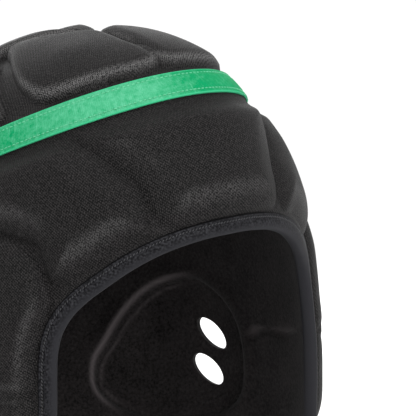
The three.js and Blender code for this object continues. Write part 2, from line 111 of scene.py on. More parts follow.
def new_material(name):
    """An empty node material with a Principled shader on its surface."""
    material = bpy.data.materials.new(name)
    material.use_nodes = True
    tree = material.node_tree
    shader = tree.nodes["Principled BSDF"]
    return material, tree, shader


FLOOR_DROP = 0.012
floor_level = cad_box[0].z - FLOOR_DROP
floor_mesh = bpy.data.meshes.new("studio_floor")
reach = 60.0
floor_mesh.from_pydata(
    [(-reach, -reach, floor_level), (reach, -reach, floor_level), (reach, reach, floor_level), (-reach, reach, floor_level)],
    [],
    [(0, 1, 2, 3)],
)
studio_floor = bpy.data.objects.new("studio_floor", floor_mesh)
bpy.context.scene.collection.objects.link(studio_floor)
floor_paint, tree, shader = new_material("matt_white_paper")
shader.inputs["Base Color"].default_value = linear("#fdfdfd")
shader.inputs["Roughness"].default_value = 0.95
shader.inputs["Specular IOR Level"].default_value = 0.1
floor_mesh.materials.append(floor_paint)

room = bpy.data.worlds.new("white_room")
bpy.context.scene.world = room
room.use_nodes = True
room.node_tree.nodes["Background"].inputs["Color"].default_value = (1.0, 1.0, 1.0, 1.0)
room.node_tree.nodes["Background"].inputs["Strength"].default_value = 1.04

SOFT_BOXES = [
    {"name": "front_box", "place": (-0.1, -1.7, 0.05), "size": 0.8, "watts": 13.0},
    {"name": "top_box", "place": (-0.3, -0.3, 1.3), "size": 0.9, "watts": 11.0},
    {"name": "left_box", "place": (-1.5, -0.6, 0.3), "size": 0.8, "watts": 1.2},
    {"name": "right_box", "place": (1.3, -1.1, 0.5), "size": 0.8, "watts": 3.0},
    {"name": "rear_box", "place": (0.9, 1.5, 0.7), "size": 1.0, "watts": 8.0},
]
for box in SOFT_BOXES:
    lamp_data = bpy.data.lights.new(box["name"], "AREA")
    lamp_data.size = box["size"]
    lamp_data.energy = box["watts"]
    lamp = bpy.data.objects.new(box["name"], lamp_data)
    lamp.location = box["place"]
    lamp.rotation_mode = "QUATERNION"
    lamp.rotation_quaternion = (CAMERA_TARGET - Vector(box["place"])).to_track_quat("-Z", "Y")
    bpy.context.scene.collection.objects.link(lamp)

# ---- Lining
# The inside of the cap: brushed lining laminated to thin foam, one hollow wall from the crown to the edge.
# It is pressed in at the seams between the pads and let out round each ear, where two slots go through it.

MM = 0.001
HEAD_LENGTH = 198 * MM
HEAD_WIDTH = 165 * MM
HEAD_DEPTH = 200 * MM
HEAD_ROUNDNESS = 2.06
WALL = 3.3 * MM

# Level rings from the crown down: depth, half width, front and back, as shares of the head's sizes
HEAD_RINGS = np.array([
    (0, 0, 0, 0),
    (0.015, 0.23, 0.287, 0.283),
    (0.057, 0.45, 0.558, 0.545),
    (0.128, 0.634, 0.792, 0.778),
    (0.232, 0.768, 0.918, 0.929),
    (0.348, 0.867, 0.989, 1.0),
    (0.471, 0.936, 0.992, 1.01),
    (0.589, 0.982, 0.948, 0.96),
    (0.706, 1, 0.881, 0.864),
    (0.822, 1, 0.792, 0.758),
    (0.939, 0.976, 0.719, 0.677),
    (1.055, 0.933, 0.644, 0.626),
])
RING_SIZES = np.array([HEAD_DEPTH, HEAD_WIDTH / 2, HEAD_LENGTH / 2, HEAD_LENGTH / 2])


def rings_at(level):
    """Depth, half width, front and back of the head at each level, by a smooth curve through the rings."""
    mirrored = HEAD_RINGS[1] * [1, -1, -1, -1]
    beyond = 2 * HEAD_RINGS[-1] - HEAD_RINGS[-2]
    table = np.vstack([mirrored, HEAD_RINGS, beyond])
    at = np.clip(np.floor(level).astype(int), 0, len(HEAD_RINGS) - 2)
    t = (level - at)[..., None]
    a, b, c, d = (table[at + i] for i in range(4))
    bend = (2 * a - 5 * b + 4 * c - d) * t**2 + (3 * b - 3 * c + d - a) * t**3
    return (2 * b + (c - a) * t + bend) / 2 * RING_SIZES


def on_map(azimuth, level):
    """A place on the map of the head: azimuth in degrees from the brow to the wearer's left, level a ring."""
    turned = np.radians(azimuth)
    return np.stack([level * np.sin(turned), -level * np.cos(turned)], -1)


def head_points(places):
    level = np.hypot(places[..., 0], places[..., 1])
    turned = np.arctan2(places[..., 0], -places[..., 1])
    sine, cosine = np.sin(turned), np.cos(turned)
    depth, width, front, rear = np.moveaxis(rings_at(level), -1, 0)
    power = np.abs(sine) ** HEAD_ROUNDNESS + np.abs(cosine) ** HEAD_ROUNDNESS
    reach = power ** (-1 / HEAD_ROUNDNESS)
    length = np.where(cosine > 0, front, rear)
    return np.stack([width * sine * reach, -length * cosine * reach, -depth], -1)


def head_slopes(places):
    """How the head's surface runs along the map's two axes, and the way out of it."""
    small = 0.01
    step_x, step_y = np.array([small, 0]), np.array([0, small])
    along_x = (head_points(places + step_x) - head_points(places - step_x)) / (2 * small)
    along_y = (head_points(places + step_y) - head_points(places - step_y)) / (2 * small)
    out = np.cross(along_x, along_y)
    return along_x, along_y, out / np.linalg.norm(out, axis=-1, keepdims=True)


def over(places, height):
    """Points at a height over the head's surface."""
    return head_points(places) + head_slopes(places)[2] * np.broadcast_to(height, places.shape[:-1])[..., None]


def dense_curve(knots, closed=True, steps=24):
    """A centripetal Catmull-Rom curve through map places."""
    knots = np.asarray(knots, float)
    if closed:
        around = np.vstack([knots[-1:], knots, knots[:2]])
    else:
        around = np.vstack([2 * knots[:1] - knots[1:2], knots, 2 * knots[-1:] - knots[-2:-1]])
    curve = []
    for p0, p1, p2, p3 in zip(around, around[1:], around[2:], around[3:]):
        d0, d1, d2 = (np.linalg.norm(q - p) ** 0.5 for p, q in ((p0, p1), (p1, p2), (p2, p3)))
        t = np.linspace(0, 1, steps, endpoint=False)[:, None]
        m1 = (p2 - p1) + d1 * ((p1 - p0) / d0 - (p2 - p0) / (d0 + d1))
        m2 = (p2 - p1) + d1 * ((p3 - p2) / d2 - (p3 - p1) / (d1 + d2))
        a, b = 2 * (p1 - p2) + m1 + m2, -3 * (p1 - p2) - 2 * m1 - m2
        curve.append(a * t**3 + b * t**2 + m1 * t + p1)
    curve = np.vstack(curve)
    return curve if closed else np.vstack([curve, knots[-1:]])


def evened(curve, count, closed=True, weight=None):
    """A map curve cut into equal real lengths, or into lengths that follow a weight at its places."""
    line = np.vstack([curve, curve[:1]]) if closed else curve
    points = head_points(line)
    lengths = np.linalg.norm(np.diff(points, axis=0), axis=1)
    if weight is not None:
        lengths = lengths * weight((line[1:] + line[:-1]) / 2)
    reached = np.concatenate([[0], np.cumsum(lengths)])
    wanted = np.linspace(0, reached[-1], count, endpoint=not closed)
    return np.stack([np.interp(wanted, reached, line[:, i]) for i in range(2)], -1)


def both_sides(rows):
    """A whole loop of map places from the rows on the wearer's left, whose ends lie in the middle."""
    rows = [tuple(row) for row in rows]
    whole = rows + [(-azimuth, level) for azimuth, level in rows[1:-1]][::-1]
    return on_map(*np.array(whole, float).T)


def one_side(rows, side):
    azimuth, level = np.array(rows, float).T
    return on_map(side * azimuth, level)


# The cap's edge: azimuth, level, and the azimuth on the crown band that the cloth runs up to from there
CAP_EDGE = [
    (0, 5.64, 0),
    (10, 5.66, 11),
    (18, 5.72, 19.5),
    (25, 5.82, 27),
    (32, 5.98, 34),
    (38.5, 6.19, 40.5),
    (44.5, 6.42, 46.5),
    (48.7, 6.66, 51),
    (51.6, 6.96, 55),
    (53, 7.32, 59),
    (53.4, 7.7, 63),
    (53.7, 8.3, 68.5),
    (54.5, 9, 75),
    (57, 9.65, 81.5),
    (62, 10.08, 87.5),
    (72, 10.32, 94),
    (86, 10.38, 101.5),
    (102, 10.34, 111),
    (122, 10.25, 126.5),
    (140, 10.12, 142.5),
    (155, 9.92, 156.5),
    (168, 9.72, 168.5),
    (180, 9.65, 180),
]
BAND_FRONT, BAND_BACK = 3.03, 4.71


def band_level(azimuth):
    """The level of the crown band's middle line."""
    return BAND_FRONT + (BAND_BACK - BAND_FRONT) * (1 - np.cos(np.radians(azimuth))) / 2


EAR_OPENING = [
    (114, 6.88), (120, 6.88), (129, 7.04), (137, 7.36), (146, 7.88), (152.5, 8.3), (154.5, 8.68), (151.5, 9.04),
    (144, 9.36), (131, 9.54), (116, 9.5), (107.5, 9.15), (104, 8.55), (103, 7.95), (104.5, 7.55), (108.5, 7.15),
]

# Outlines of the pads below the crown band: azimuth and level, on the wearer's left
MIDDLE_PADS = {
    "pad_forehead": [
        (0, 3.34), (11, 3.37), (22, 3.42), (32, 3.5), (42, 3.58), (39.5, 3.92), (30.5, 4.37), (24.8, 4.77),
        (22.5, 5.12), (19, 5.35), (0, 5.33),
    ],
    "pad_rear": [(180, 7.22), (170, 7.2), (163, 6.98), (162, 6), (163, 5.04), (172, 5.03), (180, 5.04)],
    "pad_nape": [(180, 9.14), (167, 9.15), (162, 8.98), (160, 8.3), (161.5, 7.55), (168, 7.4), (180, 7.41)],
}
SIDE_PADS = {
    "pad_temple": [
        (48.5, 3.68), (62, 3.8), (76, 4.0), (79.5, 4.4), (78, 4.95), (69, 5.07), (60, 5.26), (55, 5.47),
        (52.4, 5.98), (48.5, 6.02), (41, 5.8), (33, 5.57), (26, 5.42), (27.5, 4.82), (33.5, 4.42), (42.5, 3.94),
    ],
    "pad_cheek_front": [
        (55.6, 6.02), (60.5, 5.54), (69, 5.3), (77, 5.22), (82, 5.42), (88, 6), (94.5, 6.6), (99, 7.1),
        (98, 7.7), (90, 7.9), (76, 7.92), (60, 7.84), (59, 7.35), (57.5, 6.9), (54.6, 6.4),
    ],
    "pad_cheek_low": [
        (61, 8.12), (78, 8.16), (94, 8.12), (96.5, 8.6), (97.5, 9.1), (95, 9.6), (82, 9.84), (69, 9.64), (63, 9.2),
    ],
    "pad_side": [
        (82.5, 4.14), (90, 4.22), (98, 4.33), (107, 4.46), (115, 4.58), (117.5, 5.3), (117, 6.2), (112, 6.6),
        (103, 6.78), (97, 6.42), (90, 5.8), (83.5, 5.2), (82.5, 4.6),
    ],
    "pad_rear_side": [
        (121, 4.66), (131, 4.77), (140, 4.86), (149, 4.94), (157.5, 5.0), (159, 5.8), (159, 6.6), (157, 7.4),
        (152, 7.52), (142, 6.98), (131, 6.68), (121, 6.52), (120.5, 5.6),
    ],
}
CROWN_PADS = {
    "pad_crown_front": [
        (6.0, 0.98), (2.8, 1.65), (2.2, 2.46), (28, 2.66), (54, 2.86), (62, 2.58), (67, 2.28), (73, 1.92),
        (82, 1.53), (102, 1.15), (84, 0.88), (60, 0.75), (30, 0.8),
    ],
    "pad_crown_rear": [
        (15, 0.64), (74, 0.57), (103, 0.92), (112, 1.34), (117, 1.67), (123, 1.86), (140, 2.05), (160, 1.99),
        (174, 1.82), (110, 0.16),
    ],
    "pad_crown_side": [
        (83, 2.2), (76, 2.7), (71.5, 3.1), (80, 3.26), (95, 3.48), (115, 3.76), (132, 3.95), (136, 3.6),
        (134, 2.8), (129, 2.3), (118, 1.98), (103, 1.64), (91.5, 1.76),
    ],
    "pad_crown_back": [
        (175.5, 2.1), (177, 3.2), (177.5, 4.18), (160, 4.19), (146, 4.09), (141, 3.6), (139.5, 2.8),
        (147, 2.33), (160, 2.2),
    ],
}


def loops_of(middle, sides):
    """Every pad's dense outline on the map, by its node's name."""
    loops = {name: dense_curve(both_sides(rows)) for name, rows in middle.items()}
    for name, rows in sides.items():
        loops[name + "_left"] = dense_curve(one_side(rows, 1))
        loops[name + "_right"] = dense_curve(one_side(rows, -1))
    return loops


def inside(places, loop):
    """Which map places lie inside a loop, by counting how often a line to the right crosses it."""
    after = np.roll(loop, -1, 0)
    x, y = places[:, 0:1], places[:, 1:2]
    spans = (loop[:, 1] > y) != (after[:, 1] > y)
    rise = np.where(after[:, 1] == loop[:, 1], 1e-12, after[:, 1] - loop[:, 1])
    crossing = loop[:, 0] + (y - loop[:, 1]) * (after[:, 0] - loop[:, 0]) / rise
    return (spans & (x < crossing)).sum(1) % 2 == 1


def depth_into(places, loop, within=0.9):
    """The real distance of each map place into a loop; outside it is negative, and far away it is -1."""
    flat = places.reshape(-1, 2)
    result = np.full(len(flat), -1.0)
    low, high = loop.min(0) - within, loop.max(0) + within
    near = np.flatnonzero(((flat > low) & (flat < high)).all(1))
    rim = head_points(loop)
    for start in range(0, len(near), 4000):
        some = near[start : start + 4000]
        points = head_points(flat[some])
        gap = np.sqrt(((points[:, None] - rim[None]) ** 2).sum(-1)).min(1)
        result[some] = np.where(inside(flat[some], loop), gap, -gap)
    return result.reshape(places.shape[:-1])


lower_pads = loops_of(MIDDLE_PADS, SIDE_PADS)
crown_pads = loops_of({}, CROWN_PADS)
ear_loops = [dense_curve(one_side(EAR_OPENING, side)) for side in (1, -1)]
CAP_EDGE_ROWS = np.array(CAP_EDGE, float)
edge_curve = dense_curve(both_sides(CAP_EDGE_ROWS[:, :2]))


def band_azimuth_for(edge_places):
    """The azimuth on the band that each place of the cap's edge runs up to."""
    azimuth = np.degrees(np.arctan2(edge_places[:, 0], -edge_places[:, 1]))
    rows = CAP_EDGE_ROWS
    knots = on_map(rows[:, 0], rows[:, 1])
    steps = np.concatenate([[0], np.cumsum(np.linalg.norm(np.diff(knots, axis=0), axis=1))])
    folded = edge_places * np.where(azimuth < 0, -1, 1)[:, None] ** np.array([[1, 0]])
    gaps = ((folded[:, None] - knots[None]) ** 2).sum(-1)
    nearest = gaps.argmin(1)
    reached = np.empty(len(folded))
    for i, k in enumerate(nearest):
        best = None
        for a in (k - 1, k):
            if 0 <= a < len(knots) - 1:
                span = knots[a + 1] - knots[a]
                t = np.clip(np.dot(folded[i] - knots[a], span) / span.dot(span), 0, 1)
                gap = np.linalg.norm(folded[i] - knots[a] - t * span)
                if best is None or gap < best[0]:
                    best = (gap, steps[a] + t * (steps[a + 1] - steps[a]))
        reached[i] = best[1]
    return np.interp(reached, steps, rows[:, 2]) * np.where(azimuth < 0, -1, 1)


def side_places(columns, rows, from_share=0.0, top_shift=0.0):
    """Rows of map places from the crown band down to the cap's edge, one column for each place of the edge."""
    edge = evened(edge_curve, columns)
    azimuth = band_azimuth_for(edge)
    smooth = np.unwrap(np.radians(azimuth))
    kernel = np.hanning(15) / np.hanning(15).sum()
    wrapped = np.concatenate([smooth[-7:] - 2 * np.pi * np.sign(smooth[-1] - smooth[0]), smooth, smooth[:7] + 2 * np.pi * np.sign(smooth[-1] - smooth[0])])
    azimuth = np.degrees(np.convolve(wrapped, kernel, "valid"))
    top = on_map(azimuth, band_level(azimuth) + top_shift)
    share = np.linspace(from_share, 1, rows)[:, None, None]
    return top[None] * (1 - share) + edge[None] * share


def closed_grid(name, front, back_rows, poles=False):
    """A closed mesh from an outer grid of rows of points and a coarser grid behind it, joined at their first
    and last rows. With poles, both grids begin at a single point instead of a row."""
    count = front.shape[1]
    points = [front.reshape(-1, 3), back_rows.reshape(-1, 3)]
    starts = (0, front.shape[0] * count)
    faces = []
    i = np.arange(count)
    j = (i + 1) % count

    def quads(base, rows, flip):
        for r in range(rows - 1):
            a, b = base + r * count, base + (r + 1) * count
            face = np.stack([a + i, b + i, b + j, a + j], -1)
            faces.append(face[:, ::-1] if flip else face)

    quads(starts[0], front.shape[0], False)
    quads(starts[1], back_rows.shape[0], True)
    last_front, last_back = starts[0] + (front.shape[0] - 1) * count, starts[1] + (back_rows.shape[0] - 1) * count
    faces.append(np.stack([last_front + i, last_back + i, last_back + j, last_front + j], -1))
    triangles = []
    if poles:
        for base, grid, flip in ((starts[0], front, False), (starts[1], back_rows, True)):
            pole = sum(len(p) for p in points)
            points.append(poles[0 if not flip else 1][None])
            fan = np.stack([np.full(count, pole), base + i, base + j], -1)
            triangles.append(fan[:, ::-1] if flip else fan)
    else:
        faces.append(np.stack([starts[0] + j, starts[1] + j, starts[1] + i, starts[0] + i], -1))
    mesh = bpy.data.meshes.new(name)
    everything = [tuple(f) for f in np.vstack(faces)] + [tuple(f) for t in triangles for f in t]
    mesh.from_pydata(np.vstack(points), [], everything)
    mesh.update()
    volume = signed_volume(mesh)
    if volume < 0:
        mesh.flip_normals()
    return mesh


def signed_volume(mesh):
    mesh.calc_loop_triangles()
    count = len(mesh.loop_triangles)
    corners = np.empty(count * 3, np.int32)
    mesh.loop_triangles.foreach_get("vertices", corners)
    points = np.empty(len(mesh.vertices) * 3)
    mesh.vertices.foreach_get("co", points)
    a, b, c = np.moveaxis(points.reshape(-1, 3)[corners.reshape(-1, 3)], 1, 0)
    return float((a * np.cross(b, c)).sum() / 6)


def new_piece(name, mesh, material):
    """An object for a finished mesh, smooth except at sharp corners, that rides on the cap's one body."""
    piece = bpy.data.objects.new(name, mesh)
    bpy.context.scene.collection.objects.link(piece)
    mesh.materials.clear()
    mesh.materials.append(material)
    mesh.shade_smooth()
    mesh.set_sharp_from_angle(angle=math.radians(50))
    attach(piece, "root")
    return piece


def lay_out(mesh, crown=None):
    """A UV map in centimetres: round and down the sides, or from the given flat places on the crown."""
    points = np.empty(len(mesh.vertices) * 3)
    mesh.vertices.foreach_get("co", points)
    points = points.reshape(-1, 3)
    corners = np.empty(len(mesh.loops), np.int32)
    mesh.loops.foreach_get("vertex_index", corners)
    if crown is not None:
        uv = crown[corners] * 100
    else:
        turned = np.arctan2(points[:, 0], -points[:, 1])
        uv = np.stack([turned * 9.2, points[:, 2] * 100], -1)[corners]
        sizes = np.empty(len(mesh.polygons), np.int32)
        mesh.polygons.foreach_get("loop_total", sizes)
        first = np.concatenate([[0], np.cumsum(sizes)[:-1]])
        owner = np.repeat(np.arange(len(sizes)), sizes)
        lead = uv[first, 0][owner]
        whole = 2 * math.pi * 9.2
        uv[:, 0] += whole * np.round((lead - uv[:, 0]) / whole)
    layer = mesh.uv_layers.new(name="cloth_cm")
    layer.data.foreach_set("uv", uv.astype(np.float32).ravel())


def gentle(t):
    """A soft step from 0 to 1."""
    t = np.clip(t, 0, 1)
    return t * t * (3 - 2 * t)


def bumps(places, height, size, seed):
    """Slow waves in the cloth, in metres, from a fixed noise."""
    points = over(places, 0.004).reshape(-1, 3) / size + np.array([seed, 0, 0])
    waves = np.array([noise.noise(Vector(p)) for p in points])
    return waves.reshape(places.shape[:-1]) * height


LINING_COLUMNS = 480
LINING_ROWS = 104
LINING_CROWN_ROWS = 22
EAR_LIP = 4.6 * MM
EAR_ROLL = 1.1 * MM
EAR_STEP = 4.0 * MM
EAR_PANEL_DOME = 2.0 * MM
SEAM_SINK = 0.35 * MM
CHEEK_SEAM_SINK = 1.8 * MM
SEAM_HALF = 3.6 * MM
EDGE_REACH = 9 * MM
EDGE_THIN = 1.0 * MM


def pads_under(places):
    """How deep each place lies in the pad over it; between the pads it is negative."""
    deepest = np.full(places.shape[:-1], -1.0)
    for loop in [*lower_pads.values(), *crown_pads.values()]:
        deepest = np.maximum(deepest, depth_into(places, loop))
    return deepest


def ear_depth(places):
    return np.maximum(depth_into(places, ear_loops[0]), depth_into(places, ear_loops[1]))


def ear_panel_height(into):
    """The height of the ear panel's inner face over the head: it domes from its seam."""
    return EAR_STEP + EAR_PANEL_DOME * gentle(into / (16 * MM))


def cheek_seam(places):
    """Where the lining is drawn in between the two pads of each cheek."""
    drawn = np.zeros(places.shape[:-1])
    for word in ("left", "right"):
        upper = depth_into(places, lower_pads["pad_cheek_front_" + word])
        under = depth_into(places, lower_pads["pad_cheek_low_" + word])
        between = gentle(1 - (np.maximum(upper, under) + 2.6 * MM) / (3 * MM))
        drawn = np.maximum(drawn, between * gentle((np.minimum(upper, under) + 7.5 * MM) / (2.5 * MM)))
    return drawn


def lining_height(places, seams=True):
    into_ear = ear_depth(places)
    lip = np.clip((into_ear + EAR_LIP) / EAR_LIP, 0, 1)
    rounded = EAR_STEP * (1 - np.sqrt(1 - 0.985 * lip**2)) / (1 - math.sqrt(0.015))
    height = np.where(into_ear > 0, ear_panel_height(into_ear), rounded)
    if seams:
        roll = np.exp(-(((into_ear + EAR_LIP * 0.95) / (3.4 * MM)) ** 2)) * (into_ear < 0)
        height = height - EAR_ROLL * roll
        into_pad = pads_under(places)
        seam = gentle(1 - (into_pad + 2.2 * MM) / SEAM_HALF) * gentle((-into_ear - EAR_LIP * 1.6) / (6 * MM))
        near_edge = gentle((into_pad + 14 * MM) / (8 * MM))
        height = height + SEAM_SINK * seam * near_edge
        height = height + CHEEK_SEAM_SINK * cheek_seam(places)
        cord = np.exp(-(((into_ear - 1.8 * MM) / (0.8 * MM)) ** 2))
        height = height - 0.6 * MM * cord
    return height


def settled(rows):
    """From 0 at the cap's edge, the last row, to 1 where the padding is at its full thickness."""
    return gentle(np.linalg.norm(head_points(rows) - head_points(rows[-1:]), axis=-1) / EDGE_REACH)


def highlight_layer(mesh, amount):
    """The strength of a painted highlight, from 0 to 1, stored at the first points of a mesh."""
    layer = mesh.attributes.new("highlight_paint", "FLOAT", "POINT")
    values = np.zeros(len(mesh.vertices), np.float32)
    values[: amount.size] = amount.ravel()
    layer.data.foreach_set("value", values)


lower = side_places(LINING_COLUMNS, LINING_ROWS)
share = np.linspace(0, 1, LINING_CROWN_ROWS, endpoint=False)[1:, None, None]
lining_places = np.vstack([lower[:1] * share, lower])
inner_height = lining_height(lining_places)
inner_height = inner_height + bumps(lining_places, 0.5 * MM, 0.03, 3)
outer_places = np.vstack([lining_places[:-1:3], lining_places[-1:]])
outer_height = lining_height(outer_places, seams=False)
into_ear = ear_depth(outer_places)
outer_height = np.where(
    into_ear > -EAR_LIP, np.maximum(outer_height + 1.3 * MM, WALL), WALL
)
outer_height = outer_height - EDGE_THIN * (1 - settled(outer_places))
top_place = np.zeros((1, 2))
lining_mesh = closed_grid(
    "lining",
    over(lining_places, inner_height),
    over(outer_places, outer_height),
    poles=(over(top_place, 0.0)[0], over(top_place, WALL)[0]),
)
into_ear = ear_depth(lining_places)
azimuth = np.degrees(np.arctan2(lining_places[..., 0], -lining_places[..., 1]))
# A painted highlight on the lining: along the lip of each ear opening and the cord just inside it, towards the rear,
# and along the seams between the cheek pads.
to_rear = gentle((abs(azimuth) - 110) / 14) * gentle((9.35 - np.hypot(*np.moveaxis(lining_places, -1, 0))) / 0.5)
lip_highlight = np.exp(-(((into_ear + EAR_LIP * 0.62) / (1.1 * MM)) ** 2)) + 0.4 * np.exp(-(((into_ear - 1.8 * MM) / (0.6 * MM)) ** 2))
highlight_layer(lining_mesh, np.clip(lip_highlight * to_rear + 0.45 * cheek_seam(lining_places), 0, 1))

EAR_SLOTS = [(115, 7.98), (119.5, 8.66)]
SLOT_LENGTH = 19.2 * MM
SLOT_WIDTH = 9.5 * MM
SLOT_TILT = math.radians(42)


def slot_prism(azimuth, level, sides=56):
    """A tool that cuts one slot: an oval that leans forwards as it goes down, square to the head."""
    middle = on_map(np.array([azimuth]), np.array([level]))
    centre = head_points(middle)[0]
    out = head_slopes(middle)[2][0]
    down = np.array([0, 0, -1.0])
    down = down - out * down.dot(out)
    down /= np.linalg.norm(down)
    forward = np.cross(down, out)
    if forward[1] > 0:
        forward = -forward
    long = down * math.cos(SLOT_TILT) + forward * math.sin(SLOT_TILT)
    wide = np.cross(long, out)
    t = np.linspace(0, 2 * np.pi, sides, endpoint=False)[:, None]
    oval = centre + long * np.cos(t) * SLOT_LENGTH / 2 + wide * np.sin(t) * SLOT_WIDTH / 2
    points = np.vstack([oval - out * 6 * MM, oval + out * 24 * MM])
    i = list(range(sides))
    faces = [tuple(i[::-1]), tuple(k + sides for k in i)]
    faces += [(k, (k + 1) % sides, (k + 1) % sides + sides, k + sides) for k in i]
    mesh = bpy.data.meshes.new("slot_tool")
    mesh.from_pydata(points, [], faces)
    mesh.update()
    if signed_volume(mesh) < 0:
        mesh.flip_normals()
    return mesh


def cut(mesh, tools, name):
    """The mesh with closed tool shapes cut out of it."""
    body = bpy.data.objects.new("uncut", mesh)
    bpy.context.scene.collection.objects.link(body)
    added = []
    for tool in tools:
        cutter = bpy.data.objects.new("tool", tool)
        bpy.context.scene.collection.objects.link(cutter)
        cutter.hide_render = True
        modifier = body.modifiers.new("cut", "BOOLEAN")
        modifier.operation = "DIFFERENCE"
        modifier.solver = "MANIFOLD"
        modifier.object = cutter
        added.append(cutter)
    depsgraph = bpy.context.evaluated_depsgraph_get()
    result = bpy.data.meshes.new_from_object(body.evaluated_get(depsgraph), depsgraph=depsgraph)
    result.name = name
    for thing in [body, *added]:
        bpy.data.objects.remove(thing)
    return result


slot_tools = {side: [slot_prism(side * a, level) for a, level in EAR_SLOTS] for side in (1, -1)}
lining_mesh = cut(lining_mesh, slot_tools[1] + slot_tools[-1], "lining")
lay_out(lining_mesh)

LINING_PILE = 1.3
lining_cloth, tree, shader = new_material("brushed_polyester_lining")
# Brushed lining: a short pile that drinks the light, with faint paler fibres and a soft bloom at grazing angles
place = add_node(tree, "ShaderNodeTexCoord").outputs["Object"]
fibre = add_node(tree, "ShaderNodeTexNoise", {}, {"Vector": place}, Scale=1000 / LINING_PILE, Detail=3.0, Roughness=0.7)
patch = add_node(tree, "ShaderNodeTexNoise", {}, {"Vector": place}, Scale=60.0, Detail=2.0)
mixed = add_node(tree, "ShaderNodeMath", {"operation": "MULTIPLY_ADD"}, {0: patch.outputs["Fac"], 2: fibre.outputs["Fac"]})
mixed.inputs[1].default_value = 0.35
tone = add_node(tree, "ShaderNodeValToRGB", {}, {"Fac": mixed.outputs[0]})
tone.color_ramp.elements[0].position = 0.45
tone.color_ramp.elements[0].color = linear("#050404")
tone.color_ramp.elements[1].position = 0.9
tone.color_ramp.elements[1].color = linear("#292626")
bump = add_node(tree, "ShaderNodeBump", {}, {"Height": fibre.outputs["Fac"]}, Strength=0.5, Distance=0.0004)
# A painted highlight: the highlight attribute mixes the lining towards a paler grey.
painted_highlight = add_node(tree, "ShaderNodeAttribute", {"attribute_name": "highlight_paint"})
highlighted = add_node(
    tree, "ShaderNodeMix", {"data_type": "RGBA"}, {"Factor": painted_highlight.outputs["Fac"], "A": tone.outputs["Color"]},
)
highlighted.inputs[7].default_value = linear("#4c4748")
tree.links.new(highlighted.outputs[2], shader.inputs["Base Color"])
tree.links.new(bump.outputs["Normal"], shader.inputs["Normal"])
shader.inputs["Roughness"].default_value = 0.95
shader.inputs["Specular IOR Level"].default_value = 0.1
shader.inputs["Sheen Weight"].default_value = 0.05
shader.inputs["Sheen Roughness"].default_value = 0.5
lining = new_piece("lining", lining_mesh, lining_cloth)
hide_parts("cap_shell")

# ---- Pads
# Foam pads bonded between two layers of knitted jersey, so one skin of cloth runs over them all.
# On the crown their edges are crisp; lower down the cloth spans the seams and leaves soft grooves.

CLOTH_FLOOR = 4.3 * MM
CLOTH_UNDER = 3.5 * MM
EDGE_SETTLE = 3.3 * MM
BAND_BED = 5.4 * MM

# How each pad shows through the cloth: its rise, how far outside its outline the cloth begins to lift, and
# the width over which it rounds up, in millimetres. A higher sharpness is a crisper shoulder, and the last
# number is the share of the way up it where a painted highlight is strongest.
PAD_SHAPES = {
    "pad_forehead": {"rise": 5.5, "spill": 2.0, "width": 15.0, "sharpness": 1.5, "highlight_peak": 0.76},
    "pad_temple": {"rise": 5.9, "spill": 1.6, "width": 14.0, "sharpness": 1.5, "highlight_peak": 0.76},
    "pad_cheek_front": {"rise": 6.2, "spill": 2.8, "width": 9.0, "sharpness": 1.8, "highlight_peak": 0.76},
    "pad_cheek_low": {"rise": 5.4, "spill": 3.4, "width": 10.0, "sharpness": 1.7, "highlight_peak": 0.76},
    "pad_side": {"rise": 5.4, "spill": 4.0, "width": 12.0, "sharpness": 1.6, "highlight_peak": 0.76},
    "pad_rear_side": {"rise": 5.4, "spill": 4.0, "width": 12.0, "sharpness": 1.6, "highlight_peak": 0.76},
    "pad_rear": {"rise": 5.4, "spill": 4.0, "width": 12.0, "sharpness": 1.6, "highlight_peak": 0.76},
    "pad_nape": {"rise": 5.4, "spill": 4.0, "width": 12.0, "sharpness": 1.6, "highlight_peak": 0.76},
    "pad_crown_front": {"rise": 6.2, "spill": 1.8, "width": 6.6, "sharpness": 1.8, "highlight_peak": 0.42},
    "pad_crown_rear": {"rise": 6.2, "spill": 1.8, "width": 6.6, "sharpness": 1.8, "highlight_peak": 0.42},
    "pad_crown_side": {"rise": 5.8, "spill": 1.8, "width": 6.6, "sharpness": 1.8, "highlight_peak": 0.42},
    "pad_crown_back": {"rise": 5.8, "spill": 1.8, "width": 6.6, "sharpness": 1.8, "highlight_peak": 0.42},
}


def pad_relief(places, loops):
    """The cloth's rise over pads, and the strength of a painted highlight over their shoulders. It starts a little
    outside each outline, rounds over in a given width, and bridges the grooves between two pads."""
    open_share = np.ones(places.shape[:-1])
    tallest = np.full(places.shape[:-1], 5.0)
    painted_highlight = np.zeros(places.shape[:-1])
    for name, loop in loops.items():
        shape = PAD_SHAPES[name.removesuffix("_left").removesuffix("_right")]
        into = depth_into(places, loop)
        t = np.clip((into / MM + shape["spill"]) / shape["width"], 0, 1) * (into > -0.5)
        shoulder = (1 - (1 - t) ** shape["sharpness"]) ** (1 / shape["sharpness"])
        crown = 0.88 + 0.12 * (1 - np.exp(-np.maximum(into, 0) / (14 * MM)))
        open_share = open_share * (1 - shoulder * crown)
        tallest = np.where(t > 0, np.maximum(tallest, shape["rise"]), tallest)
        # The painted highlight peaks at a given share of the way up each shoulder.
        painted_highlight = np.maximum(painted_highlight, np.exp(-(((t - shape["highlight_peak"]) / 0.26) ** 2)) * (t < 1.0))
    return (1 - open_share) * tallest * MM, painted_highlight


def dip_of(mesh, places):
    """How far each outer point's face turns down and forwards from the bare head under it."""
    mesh.update()
    normals = np.empty(len(mesh.vertices) * 3)
    mesh.vertices.foreach_get("normal", normals)
    normals = normals.reshape(-1, 3)[: places[..., 0].size].reshape(*places.shape[:-1], 3)
    turned = normals - head_slopes(places)[2]
    return turned @ np.array([0, -0.5, -0.86])


